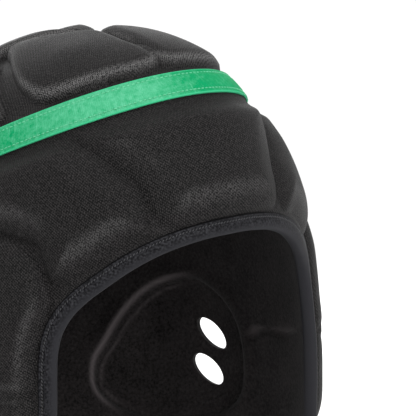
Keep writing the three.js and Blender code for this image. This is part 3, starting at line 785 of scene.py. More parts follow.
SIDE_COLUMNS = 600
SIDE_ROWS = 116
side_map = side_places(SIDE_COLUMNS, SIDE_ROWS)
soft, painted_highlight = pad_relief(side_map, lower_pads)
settle = settled(side_map)
from_band = np.linalg.norm(head_points(side_map) - head_points(side_map[:1]), axis=-1)
free = gentle((from_band - 5.5 * MM) / (12 * MM))
bed = (BAND_BED - CLOTH_FLOOR) * gentle(1 - (from_band - 5 * MM) / (7 * MM))
side_height = EDGE_SETTLE + (CLOTH_FLOOR + bed - EDGE_SETTLE + soft * free) * settle
side_height = side_height + bumps(side_map, 0.45 * MM, 0.022, 7) * settle * free
near_ear = gentle((-ear_depth(side_map) - 5 * MM) / (5 * MM))
side_height = CLOTH_FLOOR + (side_height - CLOTH_FLOOR) * np.where(side_height > CLOTH_FLOOR, near_ear, 1)
under_rows = np.vstack([side_map[:-1:6], side_map[-1:]])
under_height = CLOTH_UNDER - EDGE_THIN * (1 - settled(under_rows))
side_mesh = closed_grid("side_skin", over(side_map, side_height), over(under_rows, under_height))
# A painted highlight on the pads' shoulders, only where the cloth turns down and forwards.
highlight_layer(side_mesh, 0.75 * painted_highlight * gentle(dip_of(side_mesh, side_map) / 0.42))


def ear_prism(side):
    """A tool that takes the ear opening out of the skin, with the opening's own outline."""
    loop = evened(dense_curve(one_side(EAR_OPENING, side)), 90)
    count = len(loop)
    points = np.vstack([over(loop, -2 * MM), over(loop, 16 * MM)])
    middle = loop.mean(0)[None]
    tips = np.vstack([over(middle, -2 * MM), over(middle, 16 * MM)])
    faces = [(i, (i + 1) % count, (i + 1) % count + count, i + count) for i in range(count)]
    faces += [((i + 1) % count, i, 2 * count) for i in range(count)]
    faces += [(i + count, (i + 1) % count + count, 2 * count + 1) for i in range(count)]
    mesh = bpy.data.meshes.new("ear_tool")
    mesh.from_pydata(np.vstack([points, tips]), [], faces)
    mesh.update()
    if signed_volume(mesh) < 0:
        mesh.flip_normals()
    return mesh


side_mesh = cut(side_mesh, [ear_prism(1), ear_prism(-1)], "side_skin")
lay_out(side_mesh)


def unrolled(places):
    """Rows of map places laid out flat from the crown's top: by the real way down to them, and their azimuth."""
    points = head_points(places)
    steps = np.linalg.norm(np.diff(points, axis=0, prepend=np.zeros((1, *points.shape[1:]))), axis=-1)
    way = np.cumsum(steps, axis=0)
    azimuth = np.arctan2(places[..., 0], -places[..., 1])
    return np.stack([way * np.sin(azimuth), way * np.cos(azimuth)], -1).reshape(-1, 2)


CROWN_COLUMNS = 480
CROWN_ROWS = 110
band_azimuths = np.linspace(-180, 180, CROWN_COLUMNS, endpoint=False)
band_line = on_map(band_azimuths, band_level(band_azimuths))
crown_share = np.linspace(0, 1, CROWN_ROWS + 1)[1:, None, None]
crown_map = band_line[None] * crown_share
crisp, painted_highlight = pad_relief(crown_map, crown_pads)
from_band = np.linalg.norm(head_points(crown_map) - head_points(crown_map[-1:]), axis=-1)
free = gentle((from_band - 5.5 * MM) / (3 * MM))
bed = (BAND_BED - CLOTH_FLOOR) * gentle(1 - (from_band - 5 * MM) / (8 * MM))
crown_height = CLOTH_FLOOR + bed + crisp * free + bumps(crown_map, 0.5 * MM, 0.02, 11) * free
under_rows = np.vstack([crown_map[:-1:6], crown_map[-1:]])
crown_mesh = closed_grid(
    "crown_skin",
    over(crown_map, crown_height),
    over(under_rows, CLOTH_UNDER),
    poles=(over(top_place, crown_height[0].mean())[0], over(top_place, CLOTH_UNDER)[0]),
)
# A painted highlight on the crown pads' shoulders, only where the cloth turns down and forwards.
highlight_layer(crown_mesh, painted_highlight * gentle(dip_of(crown_mesh, crown_map) / 0.25))
lay_out(crown_mesh, np.vstack([unrolled(crown_map), unrolled(under_rows), np.zeros((2, 2))]))

KNIT_PITCH = 0.68
jersey, tree, shader = new_material("knitted_polyester_jersey")
# Warp-knitted jersey: fine slanting loops, charcoal, matt, with a pale bloom where it turns away.
# Its loops are 0.5 mm apart, too fine to show, so they are drawn at 0.68 mm.
laid = add_node(tree, "ShaderNodeUVMap", {"uv_map": "cloth_cm"}).outputs["UV"]
place = add_node(tree, "ShaderNodeTexCoord").outputs["Object"]
loops_a = add_node(
    tree, "ShaderNodeTexWave", {"wave_type": "BANDS", "bands_direction": "DIAGONAL"}, {"Vector": laid},
    Scale=math.pi / KNIT_PITCH, Distortion=2.0, Detail=2.0, Detail_Scale=6.0,
)
loops_b = add_node(
    tree, "ShaderNodeTexWave", {"wave_type": "BANDS", "bands_direction": "X"}, {"Vector": laid},
    Scale=math.pi / KNIT_PITCH, Distortion=2.0, Detail=2.0, Detail_Scale=6.0,
)
crossed = add_node(
    tree, "ShaderNodeMath", {"operation": "MULTIPLY"}, {0: loops_a.outputs["Fac"], 1: loops_b.outputs["Fac"]}
)
grain = add_node(tree, "ShaderNodeTexNoise", {}, {"Vector": place}, Scale=1450.0, Detail=2.0, Roughness=0.8)
speckle = add_node(tree, "ShaderNodeMath", {"operation": "MULTIPLY_ADD"}, {0: crossed.outputs[0], 2: grain.outputs["Fac"]})
speckle.inputs[1].default_value = 0.3
tone = add_node(tree, "ShaderNodeValToRGB", {}, {"Fac": speckle.outputs[0]})
tone.color_ramp.elements[0].position = 0.5
tone.color_ramp.elements[0].color = linear("#020202")
tone.color_ramp.elements[1].position = 0.8
tone.color_ramp.elements[1].color = linear("#2e2c2c")
# A painted highlight: where the highlight attribute is set, the paler threads of the knit are mixed towards a light
# grey.
painted_highlight = add_node(tree, "ShaderNodeAttribute", {"attribute_name": "highlight_paint"})
highlight_grain = add_node(tree, "ShaderNodeMapRange", {}, {"Value": speckle.outputs[0]}, From_Min=0.42, From_Max=0.72)
highlight_threads = add_node(tree, "ShaderNodeMath", {"operation": "MULTIPLY"}, {0: painted_highlight.outputs["Fac"], 1: highlight_grain.outputs["Result"]})
highlighted = add_node(
    tree, "ShaderNodeMix", {"data_type": "RGBA"}, {"Factor": highlight_threads.outputs[0], "A": tone.outputs["Color"]},
)
highlighted.inputs[7].default_value = linear("#5a5959")
bump = add_node(tree, "ShaderNodeBump", {}, {"Height": speckle.outputs[0]}, Strength=0.6, Distance=0.0004)
tree.links.new(highlighted.outputs[2], shader.inputs["Base Color"])
tree.links.new(bump.outputs["Normal"], shader.inputs["Normal"])
shader.inputs["Roughness"].default_value = 0.6
shader.inputs["Specular IOR Level"].default_value = 0.09
shader.inputs["Sheen Weight"].default_value = 0.025
shader.inputs["Sheen Roughness"].default_value = 0.35
side_skin = new_piece("side_skin", side_mesh, jersey)
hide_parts(*lower_pads)
crown_skin = new_piece("crown_skin", crown_mesh, jersey)
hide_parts(*crown_pads)

# ---- Crown band
# A woven polyester tape, 11 mm wide, laid flat over the seam between the crown and the sides.
# It is sewn down along both edges, and the sewing puckers it slightly.

BAND_WIDTH = 12.4 * MM
BAND_SEAT = 5.7 * MM
BAND_THICKNESS = 1.1 * MM


def inward_steps(loop):
    """For each place of a closed loop, the map step of one metre square to it, towards its inner side."""
    points = head_points(loop)
    along = np.roll(points, -1, 0) - np.roll(points, 1, 0)
    along /= np.linalg.norm(along, axis=1, keepdims=True)
    along_x, along_y, out = head_slopes(loop)
    square = np.cross(out, along)
    area = (loop[:, 0] * np.roll(loop[:, 1], -1) - np.roll(loop[:, 0], -1) * loop[:, 1]).sum()
    square *= 1 if area > 0 else -1
    xx, xy, yy = (along_x**2).sum(-1), (along_x * along_y).sum(-1), (along_y**2).sum(-1)
    x, y = (along_x * square).sum(-1), (along_y * square).sum(-1)
    size = xx * yy - xy**2
    return np.stack([(x * yy - y * xy) / size, (y * xx - x * xy) / size], -1)


def swept_ring(name, loop, section):
    """A closed strip carried round a loop. section gives, for each of its points, distances inwards and
    heights, each one number or one for each place of the loop."""
    steps = inward_steps(loop)
    rows = np.stack([over(loop + steps * np.broadcast_to(inward, len(loop))[:, None], height) for inward, height in section], 1)
    count, across = rows.shape[:2]
    i, k = np.meshgrid(np.arange(count), np.arange(across), indexing="ij")
    here, there = i * across, (i + 1) % count * across
    faces = np.stack([here + k, there + k, there + (k + 1) % across, here + (k + 1) % across], -1).reshape(-1, 4)
    mesh = bpy.data.meshes.new(name)
    mesh.from_pydata(rows.reshape(-1, 3), [], [tuple(f) for f in faces])
    mesh.update()
    if signed_volume(mesh) < 0:
        mesh.flip_normals()
    layer = mesh.uv_layers.new(name="along_mm")
    run = np.concatenate([[0], np.cumsum(np.linalg.norm(np.diff(rows[:, 0], axis=0, append=rows[:1, 0]), axis=1))]) * 1000
    corner_i = np.stack([i, i + 1, i + 1, i], -1).reshape(-1)
    corner_k = np.stack([k, k, k + 1, k + 1], -1).reshape(-1)
    if mesh.loops[1].vertex_index != faces[0][1]:
        corner_i = corner_i.reshape(-1, 4)[:, [0, 3, 2, 1]].reshape(-1)
        corner_k = corner_k.reshape(-1, 4)[:, [0, 3, 2, 1]].reshape(-1)
    across_mm = [inward if np.isscalar(inward) else float(np.mean(inward)) for inward, _ in section]
    across_mm = np.array([*across_mm, across_mm[0]]) * 1000
    layer.data.foreach_set("uv", np.stack([run[corner_i], across_mm[corner_k]], -1).astype(np.float32).ravel())
    return mesh


band_places = evened(dense_curve(on_map(np.arange(-180, 180, 7.5), band_level(np.arange(-180, 180, 7.5)))), 640)
half = BAND_WIDTH / 2
STITCH_INSET = 2.0 * MM
pucker = np.array([noise.noise(Vector(p) / 0.0045) for p in over(band_places, 0.005)]) * 0.22 * MM
band_section = []
for across in np.linspace(-half, half, 15):
    sunk = 0.45 * MM * np.exp(-(((abs(across) - (half - STITCH_INSET)) / (0.7 * MM)) ** 2))
    rolled = 0.35 * MM * gentle((abs(across) - half + 0.8 * MM) / (0.8 * MM))
    band_section.append((across, BAND_SEAT + BAND_THICKNESS - sunk - rolled + pucker * (1 - (abs(across) / half) ** 2)))
band_section += [(across, BAND_SEAT) for across in (half, 0.0, -half)]
band_mesh = swept_ring("crown_tape", band_places, band_section)

ribbon, tree, shader = new_material("woven_polyester_ribbon")
# Green woven ribbon: fine ribs and pale creases run across it, and its selvedges are paler. A painted sheen makes it
# paler in a zone just to the wearer's right of the middle line.
# Its ribs are 0.4 mm apart, too fine to show, so they are drawn at 0.9 mm.
laid = add_node(tree, "ShaderNodeUVMap", {"uv_map": "along_mm"}).outputs["UV"]
split = add_node(tree, "ShaderNodeSeparateXYZ", {}, {"Vector": laid})
ribs = add_node(tree, "ShaderNodeTexWave", {"bands_direction": "X"}, {"Vector": laid}, Scale=math.pi / 9.0, Distortion=3.0, Detail=2.0)
away = add_node(tree, "ShaderNodeMath", {"operation": "ABSOLUTE"}, {0: split.outputs["Y"]})
selvedge = add_node(tree, "ShaderNodeMapRange", {}, {"Value": away.outputs[0]}, From_Min=5.5, From_Max=6.0)
place = add_node(tree, "ShaderNodeTexCoord").outputs["Object"]
across = add_node(tree, "ShaderNodeSeparateXYZ", {}, {"Vector": place})
# A painted sheen: the tape is mixed paler where the object's X lies just to the wearer's right of the middle line.
sheen_start = add_node(tree, "ShaderNodeMapRange", {"interpolation_type": "SMOOTHSTEP"}, {"Value": across.outputs["X"]}, From_Min=-0.075, From_Max=-0.035)
sheen_end = add_node(tree, "ShaderNodeMapRange", {"interpolation_type": "SMOOTHSTEP"}, {"Value": across.outputs["X"]}, From_Min=0.012, From_Max=-0.02)
painted_sheen = add_node(tree, "ShaderNodeMath", {"operation": "MULTIPLY"}, {0: sheen_start.outputs["Result"], 1: sheen_end.outputs["Result"]})
cloud = add_node(tree, "ShaderNodeTexNoise", {}, {"Vector": place}, Scale=420.0, Detail=4.0, Roughness=0.8)
sheen_and_cloud = add_node(tree, "ShaderNodeMath", {"operation": "MULTIPLY_ADD"}, {0: painted_sheen.outputs[0], 2: cloud.outputs["Fac"]})
sheen_and_cloud.inputs[1].default_value = 0.3
body = add_node(tree, "ShaderNodeValToRGB", {}, {"Fac": sheen_and_cloud.outputs[0]})
body.color_ramp.elements[0].position = 0.48
body.color_ramp.elements[0].color = linear("#00824f")
body.color_ramp.elements[1].position = 0.95
body.color_ramp.elements[1].color = linear("#4fa37d")
creased = add_node(tree, "ShaderNodeMapping", {}, {"Vector": laid}, Scale=(0.7, 0.05, 1.0))
crease = add_node(tree, "ShaderNodeTexNoise", {}, {"Vector": creased.outputs["Vector"]}, Scale=1.0, Detail=2.0)
pale = add_node(tree, "ShaderNodeMapRange", {}, {"Value": crease.outputs["Fac"]}, From_Min=0.6, From_Max=0.8, To_Max=0.55)
wear_and_sheen = add_node(tree, "ShaderNodeMix", {"data_type": "RGBA"}, {"Factor": pale.outputs["Result"], "A": body.outputs["Color"]})
wear_and_sheen.inputs[7].default_value = linear("#62b28f")
edged = add_node(
    tree, "ShaderNodeMix", {"data_type": "RGBA"}, {"Factor": selvedge.outputs["Result"], "A": wear_and_sheen.outputs[2]},
)
edged.inputs[7].default_value = linear("#36a273")
bump = add_node(tree, "ShaderNodeBump", {}, {"Height": ribs.outputs["Fac"]}, Strength=0.5, Distance=0.0002)
tree.links.new(edged.outputs[2], shader.inputs["Base Color"])
tree.links.new(bump.outputs["Normal"], shader.inputs["Normal"])
shader.inputs["Roughness"].default_value = 0.6
shader.inputs["Specular IOR Level"].default_value = 0.04
crown_tape = new_piece("crown_tape", band_mesh, ribbon)
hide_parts("crown_band")

# ---- Edge binding
# A plain twill tape folded over the cap's whole edge, 5 mm on the outside and 5 mm inside.
# It is sewn through close to its outer border with a lockstitch in dark thread.

BINDING_WIDTH = 5.6 * MM
BINDING_THICKNESS = 1.1 * MM
edge_places = evened(edge_curve, 760)
wavering = np.array([noise.noise(Vector(p) / 0.012) for p in over(edge_places, 0.0)]) * 0.25 * MM
OUTER_LEG = 3.5 * MM
INNER_LEG = 3.2 * MM
binding_section = [
    (BINDING_WIDTH, OUTER_LEG + 0.3 * MM),
    (BINDING_WIDTH - 0.2 * MM, OUTER_LEG + 0.95 * MM),
    (BINDING_WIDTH - 0.7 * MM, OUTER_LEG + 1.15 * MM),
    (BINDING_WIDTH - 1.5 * MM, OUTER_LEG + 0.95 * MM),
    (BINDING_WIDTH - 1.9 * MM, OUTER_LEG + 0.6 * MM),
    (BINDING_WIDTH - 2.4 * MM, OUTER_LEG + 0.95 * MM),
    (BINDING_WIDTH - 3.2 * MM, OUTER_LEG + 1.1 * MM + wavering),
    (0.7 * MM, OUTER_LEG + 0.95 * MM + wavering),
    (-0.5 * MM, OUTER_LEG + 0.45 * MM),
    (-1.3 * MM, OUTER_LEG - 0.7 * MM),
    (-1.6 * MM, 1.8 * MM),
    (-1.3 * MM, -0.2 * MM),
    (-0.5 * MM, -1.2 * MM),
    (0.8 * MM, -1.6 * MM),
    (2.0 * MM, -1.5 * MM),
    (INNER_LEG - 0.3 * MM, -1.3 * MM),
    (INNER_LEG, -0.9 * MM),
    (INNER_LEG, -0.5 * MM),
    (-0.4 * MM, -0.45 * MM),
    (-0.4 * MM, OUTER_LEG - 0.1 * MM),
    (BINDING_WIDTH, OUTER_LEG),
]
binding_mesh = swept_ring("edge_binding_tape", edge_places, binding_section)
binding_cloth, tree, shader = new_material("twill_binding_tape")
# Twill tape: smooth, dark blue-grey, with fine slanting ribs; a painted highlight makes the fold over the edge a little
# paler, and a painted shadow darkens its outer border
place = add_node(tree, "ShaderNodeTexCoord").outputs["Object"]
laid = add_node(tree, "ShaderNodeUVMap", {"uv_map": "along_mm"}).outputs["UV"]
ribs = add_node(tree, "ShaderNodeTexWave", {"bands_direction": "DIAGONAL"}, {"Vector": laid}, Scale=math.pi / 10.0, Distortion=1.0)
grain = add_node(tree, "ShaderNodeTexNoise", {}, {"Vector": place}, Scale=1100.0, Detail=2.0)
mixed = add_node(tree, "ShaderNodeMath", {"operation": "MULTIPLY_ADD"}, {0: ribs.outputs["Fac"], 2: grain.outputs["Fac"]})
mixed.inputs[1].default_value = 0.08
tone = add_node(tree, "ShaderNodeValToRGB", {}, {"Fac": mixed.outputs[0]})
tone.color_ramp.elements[0].position = 0.42
tone.color_ramp.elements[0].color = linear("#08080a")
tone.color_ramp.elements[1].position = 0.8
tone.color_ramp.elements[1].color = linear("#2f2f32")
split = add_node(tree, "ShaderNodeSeparateXYZ", {}, {"Vector": laid})
# Painted shadow: the strip along the tape's outer border, where it meets the knit, is darkened to near black.
border = add_node(tree, "ShaderNodeMapRange", {}, {"Value": split.outputs["Y"]}, From_Min=4.85, From_Max=5.1)
# Painted highlight: the fold over the edge is mixed towards a paler grey.
fold_highlight = add_node(tree, "ShaderNodeMapRange", {}, {"Value": split.outputs["Y"]}, From_Min=1.6, From_Max=-1.0)
turned = add_node(tree, "ShaderNodeMix", {"data_type": "RGBA"}, {"Factor": border.outputs["Result"], "A": tone.outputs["Color"]})
turned.inputs[7].default_value = linear("#020203")
wear_and_sheen = add_node(tree, "ShaderNodeMix", {"data_type": "RGBA"}, {"Factor": fold_highlight.outputs["Result"], "A": turned.outputs[2]})
wear_and_sheen.inputs[7].default_value = linear("#222225")
bump = add_node(tree, "ShaderNodeBump", {}, {"Height": mixed.outputs[0]}, Strength=0.2, Distance=0.0002)
tree.links.new(wear_and_sheen.outputs[2], shader.inputs["Base Color"])
tree.links.new(bump.outputs["Normal"], shader.inputs["Normal"])
shader.inputs["Roughness"].default_value = 0.6
shader.inputs["Specular IOR Level"].default_value = 0.06
binding = new_piece("edge_binding_tape", binding_mesh, binding_cloth)
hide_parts("edge_binding")

# ---- Stitching
# Polyester thread, about 0.5 mm thick, in lockstitches 2.5 to 3 mm long.
# It holds the crown band along both edges and the binding along its outer border.


def sewing_tree(name, thread):
    """A tree that lays stitches along a path: a stitch every pitch, as long, wide and thick as it is told."""
    tree = bpy.data.node_groups.new(name, "GeometryNodeTree")
    face = tree.interface
    face.new_socket("Geometry", in_out="INPUT", socket_type="NodeSocketGeometry")
    for label, value in (("Pitch", 3.0 * MM), ("Length", 2.2 * MM), ("Width", 0.5 * MM), ("Twist", 0.0)):
        socket = face.new_socket(label, in_out="INPUT", socket_type="NodeSocketFloat")
        socket.default_value = value
    face.new_socket("Geometry", in_out="OUTPUT", socket_type="NodeSocketGeometry")
    given = add_node(tree, "NodeGroupInput")
    path = add_node(tree, "GeometryNodeMeshToCurve", {}, {"Mesh": given.outputs["Geometry"]})
    spaced = add_node(
        tree, "GeometryNodeResampleCurve", {"mode": "LENGTH"}, {"Curve": path.outputs["Curve"], "Length": given.outputs["Pitch"]}
    )
    out = add_node(tree, "GeometryNodeInputNamedAttribute", {"data_type": "FLOAT_VECTOR"}, Name="out")
    tangent = add_node(tree, "GeometryNodeInputTangent")
    along = add_node(tree, "FunctionNodeAlignRotationToVector", {"axis": "X"}, {"Vector": tangent.outputs[0]})
    facing = add_node(
        tree, "FunctionNodeAlignRotationToVector", {"axis": "Z", "pivot_axis": "X"},
        {"Rotation": along.outputs[0], "Vector": out.outputs["Attribute"]},
    )
    twisted = add_node(tree, "ShaderNodeCombineXYZ", {}, {"Z": given.outputs["Twist"]})
    turned = add_node(tree, "FunctionNodeEulerToRotation", {}, {"Euler": twisted.outputs[0]})
    final = add_node(tree, "FunctionNodeRotateRotation", {"rotation_space": "LOCAL"}, {"Rotation": facing.outputs[0], "Rotate By": turned.outputs[0]})
    bead = add_node(tree, "GeometryNodeMeshUVSphere", {}, Segments=6, Rings=5, Radius=0.5)
    size = add_node(
        tree, "ShaderNodeCombineXYZ", {},
        {"X": given.outputs["Length"], "Y": given.outputs["Width"], "Z": given.outputs["Width"]},
    )
    stitches = add_node(
        tree, "GeometryNodeInstanceOnPoints", {},
        {"Points": spaced.outputs["Curve"], "Instance": bead.outputs["Mesh"], "Rotation": final.outputs[0], "Scale": size.outputs[0]},
    )
    real = add_node(tree, "GeometryNodeRealizeInstances", {}, {"Geometry": stitches.outputs[0]})
    smooth = add_node(tree, "GeometryNodeSetShadeSmooth", {}, {0: real.outputs[0]})
    dyed = add_node(tree, "GeometryNodeSetMaterial", {}, {"Geometry": smooth.outputs[0]})
    dyed.inputs["Material"].default_value = thread
    add_node(tree, "NodeGroupOutput", {}, {"Geometry": dyed.outputs[0]})
    return tree


def thread_material(name, shade, sheen):
    material, tree, shader = new_material(name)
    place = add_node(tree, "ShaderNodeTexCoord").outputs["Object"]
    strand = add_node(tree, "ShaderNodeTexNoise", {}, {"Vector": place}, Scale=1800.0, Detail=1.0)
    tone = add_node(tree, "ShaderNodeValToRGB", {}, {"Fac": strand.outputs["Fac"]})
    tone.color_ramp.elements[0].color = linear(shade[0])
    tone.color_ramp.elements[1].color = linear(shade[1])
    tree.links.new(tone.outputs["Color"], shader.inputs["Base Color"])
    shader.inputs["Roughness"].default_value = 0.55
    shader.inputs["Sheen Weight"].default_value = sheen
    return material


def sew(name, paths, thread, slot, **sizes):
    """One piece of stitches along paths. A path is (points, ways out, closed)."""
    mesh = bpy.data.meshes.new(name + "_path")
    points, outs, edges = [], [], []
    for path, out, closed in paths:
        start = len(points)
        count = len(path)
        points += [tuple(p) for p in path]
        outs += [tuple(o) for o in out]
        edges += [(start + i, start + (i + 1) % count) for i in range(count if closed else count - 1)]
    mesh.from_pydata(points, edges, [])
    layer = mesh.attributes.new("out", "FLOAT_VECTOR", "POINT")
    layer.data.foreach_set("vector", np.array(outs, np.float32).ravel())
    carrier = bpy.data.objects.new(name + "_path", mesh)
    bpy.context.scene.collection.objects.link(carrier)
    modifier = carrier.modifiers.new("stitches", "NODES")
    modifier.node_group = sewing_tree(name + "_tree", thread)
    for item in modifier.node_group.interface.items_tree:
        if item.item_type == "SOCKET" and item.in_out == "INPUT" and item.name.lower() in sizes:
            modifier[item.identifier] = sizes[item.name.lower()]
    depsgraph = bpy.context.evaluated_depsgraph_get()
    made = bpy.data.meshes.new_from_object(carrier.evaluated_get(depsgraph), depsgraph=depsgraph)
    made.name = name
    bpy.data.objects.remove(carrier)
    piece = bpy.data.objects.new(name, made)
    bpy.context.scene.collection.objects.link(piece)
    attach(piece, "root")
    return piece


def loop_path(loop, inward, height):
    """A stitch path at a distance in from a loop, with the ways out of the head along it."""
    moved = loop + inward_steps(loop) * inward
    return over(moved, height), head_slopes(moved)[2], True


green_thread = thread_material("green_polyester_thread", ("#0d8153", "#68c398"), 0.0)
grey_thread = thread_material("grey_polyester_thread", ("#0c0c0d", "#2c2e31"), 0.2)
pale_thread = thread_material("pale_grey_polyester_thread", ("#070708", "#303034"), 0.0)
stitch_line = half - STITCH_INSET
sew(
    "crown_tape_stitches",
    [loop_path(band_places, side * stitch_line, BAND_SEAT + BAND_THICKNESS - 0.3 * MM) for side in (1, -1)],
    green_thread, "crown_tape", pitch=2.2 * MM, length=1.8 * MM, width=0.6 * MM,
)
sew(
    "binding_stitches",
    [loop_path(edge_places, BINDING_WIDTH - 1.9 * MM, OUTER_LEG + 0.75 * MM)],
    pale_thread, "edge_tape", pitch=1.5 * MM, length=1.5 * MM, width=0.62 * MM, twist=0.5,
)

# ---- Ear covers
# A thin laminated panel over each ear opening, lapped onto the cap and sewn down round its rim.
# It domes out to clear the ear, and two slanting slots go through it.

EAR_LAP = 4.0 * MM
COVER_THICKNESS = 1.3 * MM
cover_pieces = []
for side, word in ((1, "left"), (-1, "right")):
    opening = evened(dense_curve(one_side(EAR_OPENING, side)), 150)
    outwards = inward_steps(opening)
    rim = opening - outwards * EAR_LAP
    middle = opening.mean(0)
    rows = [opening * (1 - s) + rim * s for s in (1.0, 0.8, 0.6, 0.4, 0.2)]
    rows += [middle + (opening - middle) * s for s in np.linspace(1, 0.04, 30)]
    places = np.stack(rows[::-1])
    into = depth_into(places, ear_loops[0 if side > 0 else 1])
    inner_face = np.maximum(ear_panel_height(np.maximum(into, 0)) + 1.6 * MM, 4.55 * MM)
    lip = gentle((into + EAR_LAP) / (1.2 * MM))
    seam = 0.35 * MM * np.exp(-(((into + 1.5 * MM) / (0.7 * MM)) ** 2))
    outer_face = inner_face + COVER_THICKNESS * (0.45 + 0.55 * lip) - seam
    tip = middle[None]
    tip_inner = over(tip, ear_panel_height(np.array([16 * MM])) + 1.6 * MM)[0]
    tip_outer = over(tip, ear_panel_height(np.array([16 * MM])) + 1.6 * MM + COVER_THICKNESS)[0]
    mesh = closed_grid("ear_panel_" + word, over(places, outer_face), over(places, inner_face), poles=(tip_outer, tip_inner))
    mesh = cut(mesh, slot_tools[side], "ear_panel_" + word)
    lay_out(mesh)
    panel = new_piece("ear_panel_" + word, mesh, jersey)
    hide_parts("ear_cover_" + word)
    cover_pieces.append((opening, word))
sew(
    "ear_panel_stitches",
    [loop_path(opening, -1.5 * MM, 4.55 * MM + COVER_THICKNESS - 0.1 * MM) for opening, _ in cover_pieces],
    grey_thread, "lining_fabric", pitch=3.0 * MM, length=2.3 * MM, width=0.5 * MM,
)

# ---- Chin strap
# Woven polyester webbing, 20 mm wide, in one length from flap to flap under the chin, hung as it is worn.
# Each end lies flat on its cheek flap and is sewn down with a box of stitches.

STRAP_WIDTH = 20 * MM
STRAP_THICKNESS = 1.8 * MM
STRAP_FOOT = (76.0, 10.38)
STRAP_LAP = 9 * MM
STRAP_DROP = 52 * MM
STRAP_FORWARD = 12 * MM
STRAP_TURN = 0.3
STRAP_HEIGHT_ON_FLAP = 5.75 * MM
STRAP_HEIGHT_ON_EDGE = 6.2 * MM

# The half line below the flap: distance from the middle and drop, as shares of the flap's and of the whole
STRAP_HALF = [(0.97, 0.3), (0.84, 0.58), (0.55, 0.86), (0.26, 0.98)]

foot = on_map(np.array([STRAP_FOOT[0]]), np.array([STRAP_FOOT[1]]))
along_x, along_y, out = head_slopes(foot)
upwards = np.array([0, 0, 1.0])
system = np.array([
    [(along_x**2).sum(), (along_x * along_y).sum()],
    [(along_x * along_y).sum(), (along_y**2).sum()],
])
map_up = np.linalg.solve(system, [(along_x @ upwards)[0], (along_y @ upwards)[0]])
strap_end = over(foot + map_up * STRAP_LAP, STRAP_HEIGHT_ON_FLAP)[0]
strap_lip = over(foot - map_up * BINDING_THICKNESS, STRAP_HEIGHT_ON_EDGE)[0]


def hung(aside, drop):
    """A point of the strap below the flap."""
    return np.array([strap_lip[0] * aside, strap_lip[1] - STRAP_FORWARD * drop, strap_lip[2] - STRAP_DROP * drop])


left_half = [hung(0, 1), *[hung(*row) for row in STRAP_HALF[::-1]], strap_lip, strap_end]
strap_knots = [point * [-1, 1, 1] for point in left_half[:0:-1]] + left_half
strap_curve = dense_curve(strap_knots, closed=False, steps=60)
strap_reached = np.concatenate([[0], np.cumsum(np.linalg.norm(np.diff(strap_curve, axis=0), axis=1))])
strap_length = strap_reached[-1]
flat_across = np.cross(upwards, out[0])
flat_across /= np.linalg.norm(flat_across)


def strap_frames(share):
    """The strap's middle, the ways along and across it, and the way out of its face, at shares of its length."""
    middle = np.stack([np.interp(share * strap_length, strap_reached, strap_curve[:, k]) for k in range(3)], -1)
    step = 0.002
    ahead, behind = (
        np.stack([np.interp((share + s) * strap_length, strap_reached, strap_curve[:, k]) for k in range(3)], -1)
        for s in (step, -step)
    )
    along = ahead - behind
    along /= np.linalg.norm(along, axis=1, keepdims=True)
    flat = np.where(share[:, None] < 0.5, flat_across * [-1, 1, 1], flat_across)
    turned = gentle(np.minimum(share, 1 - share) / STRAP_TURN)[:, None]
    across = flat * (1 - turned) + np.array([0, 1.0, 0]) * turned
    across -= along * (along * across).sum(1, keepdims=True)
    across /= np.linalg.norm(across, axis=1, keepdims=True)
    return middle, along, across, np.cross(across, along)


def swept_strap(name, shares, section):
    """A closed strip along the strap. section gives (across, outwards) in metres for each of its points."""
    middle, along, across, outwards = strap_frames(shares)
    rows = np.stack([middle + across * a + outwards * o for a, o in section], 1)
    count, around = rows.shape[:2]
    i, k = np.meshgrid(np.arange(count - 1), np.arange(around), indexing="ij")
    faces = np.stack([i * around + k, (i + 1) * around + k, (i + 1) * around + (k + 1) % around, i * around + (k + 1) % around], -1)
    caps = [tuple(range(around)), tuple(range((count - 1) * around, count * around))[::-1]]
    mesh = bpy.data.meshes.new(name)
    mesh.from_pydata(rows.reshape(-1, 3), [], [tuple(f) for f in faces.reshape(-1, 4)] + caps)
    mesh.update()
    if signed_volume(mesh) < 0:
        mesh.flip_normals()
    uv_of_point = np.stack([
        np.repeat(shares * strap_length * 1000, around), np.tile([a * 1000 for a, _ in section], count),
    ], -1)
    corners = np.empty(len(mesh.loops), np.int32)
    mesh.loops.foreach_get("vertex_index", corners)
    layer = mesh.uv_layers.new(name="along_mm")
    layer.data.foreach_set("uv", uv_of_point[corners].astype(np.float32).ravel())
    return mesh


strap_section = []
for turn in np.linspace(0, 2 * np.pi, 44, endpoint=False):
    c, s = math.cos(turn), math.sin(turn)
    strap_section.append((
        math.copysign(abs(c) ** 0.22, c) * STRAP_WIDTH / 2,
        math.copysign(abs(s) ** 0.55, s) * STRAP_THICKNESS / 2 * (1 - 0.12 * abs(c) ** 6),
    ))
strap_mesh = swept_strap("chin_webbing", np.linspace(0, 1, 260), strap_section)
webbing, tree, shader = new_material("woven_polyester_webbing")
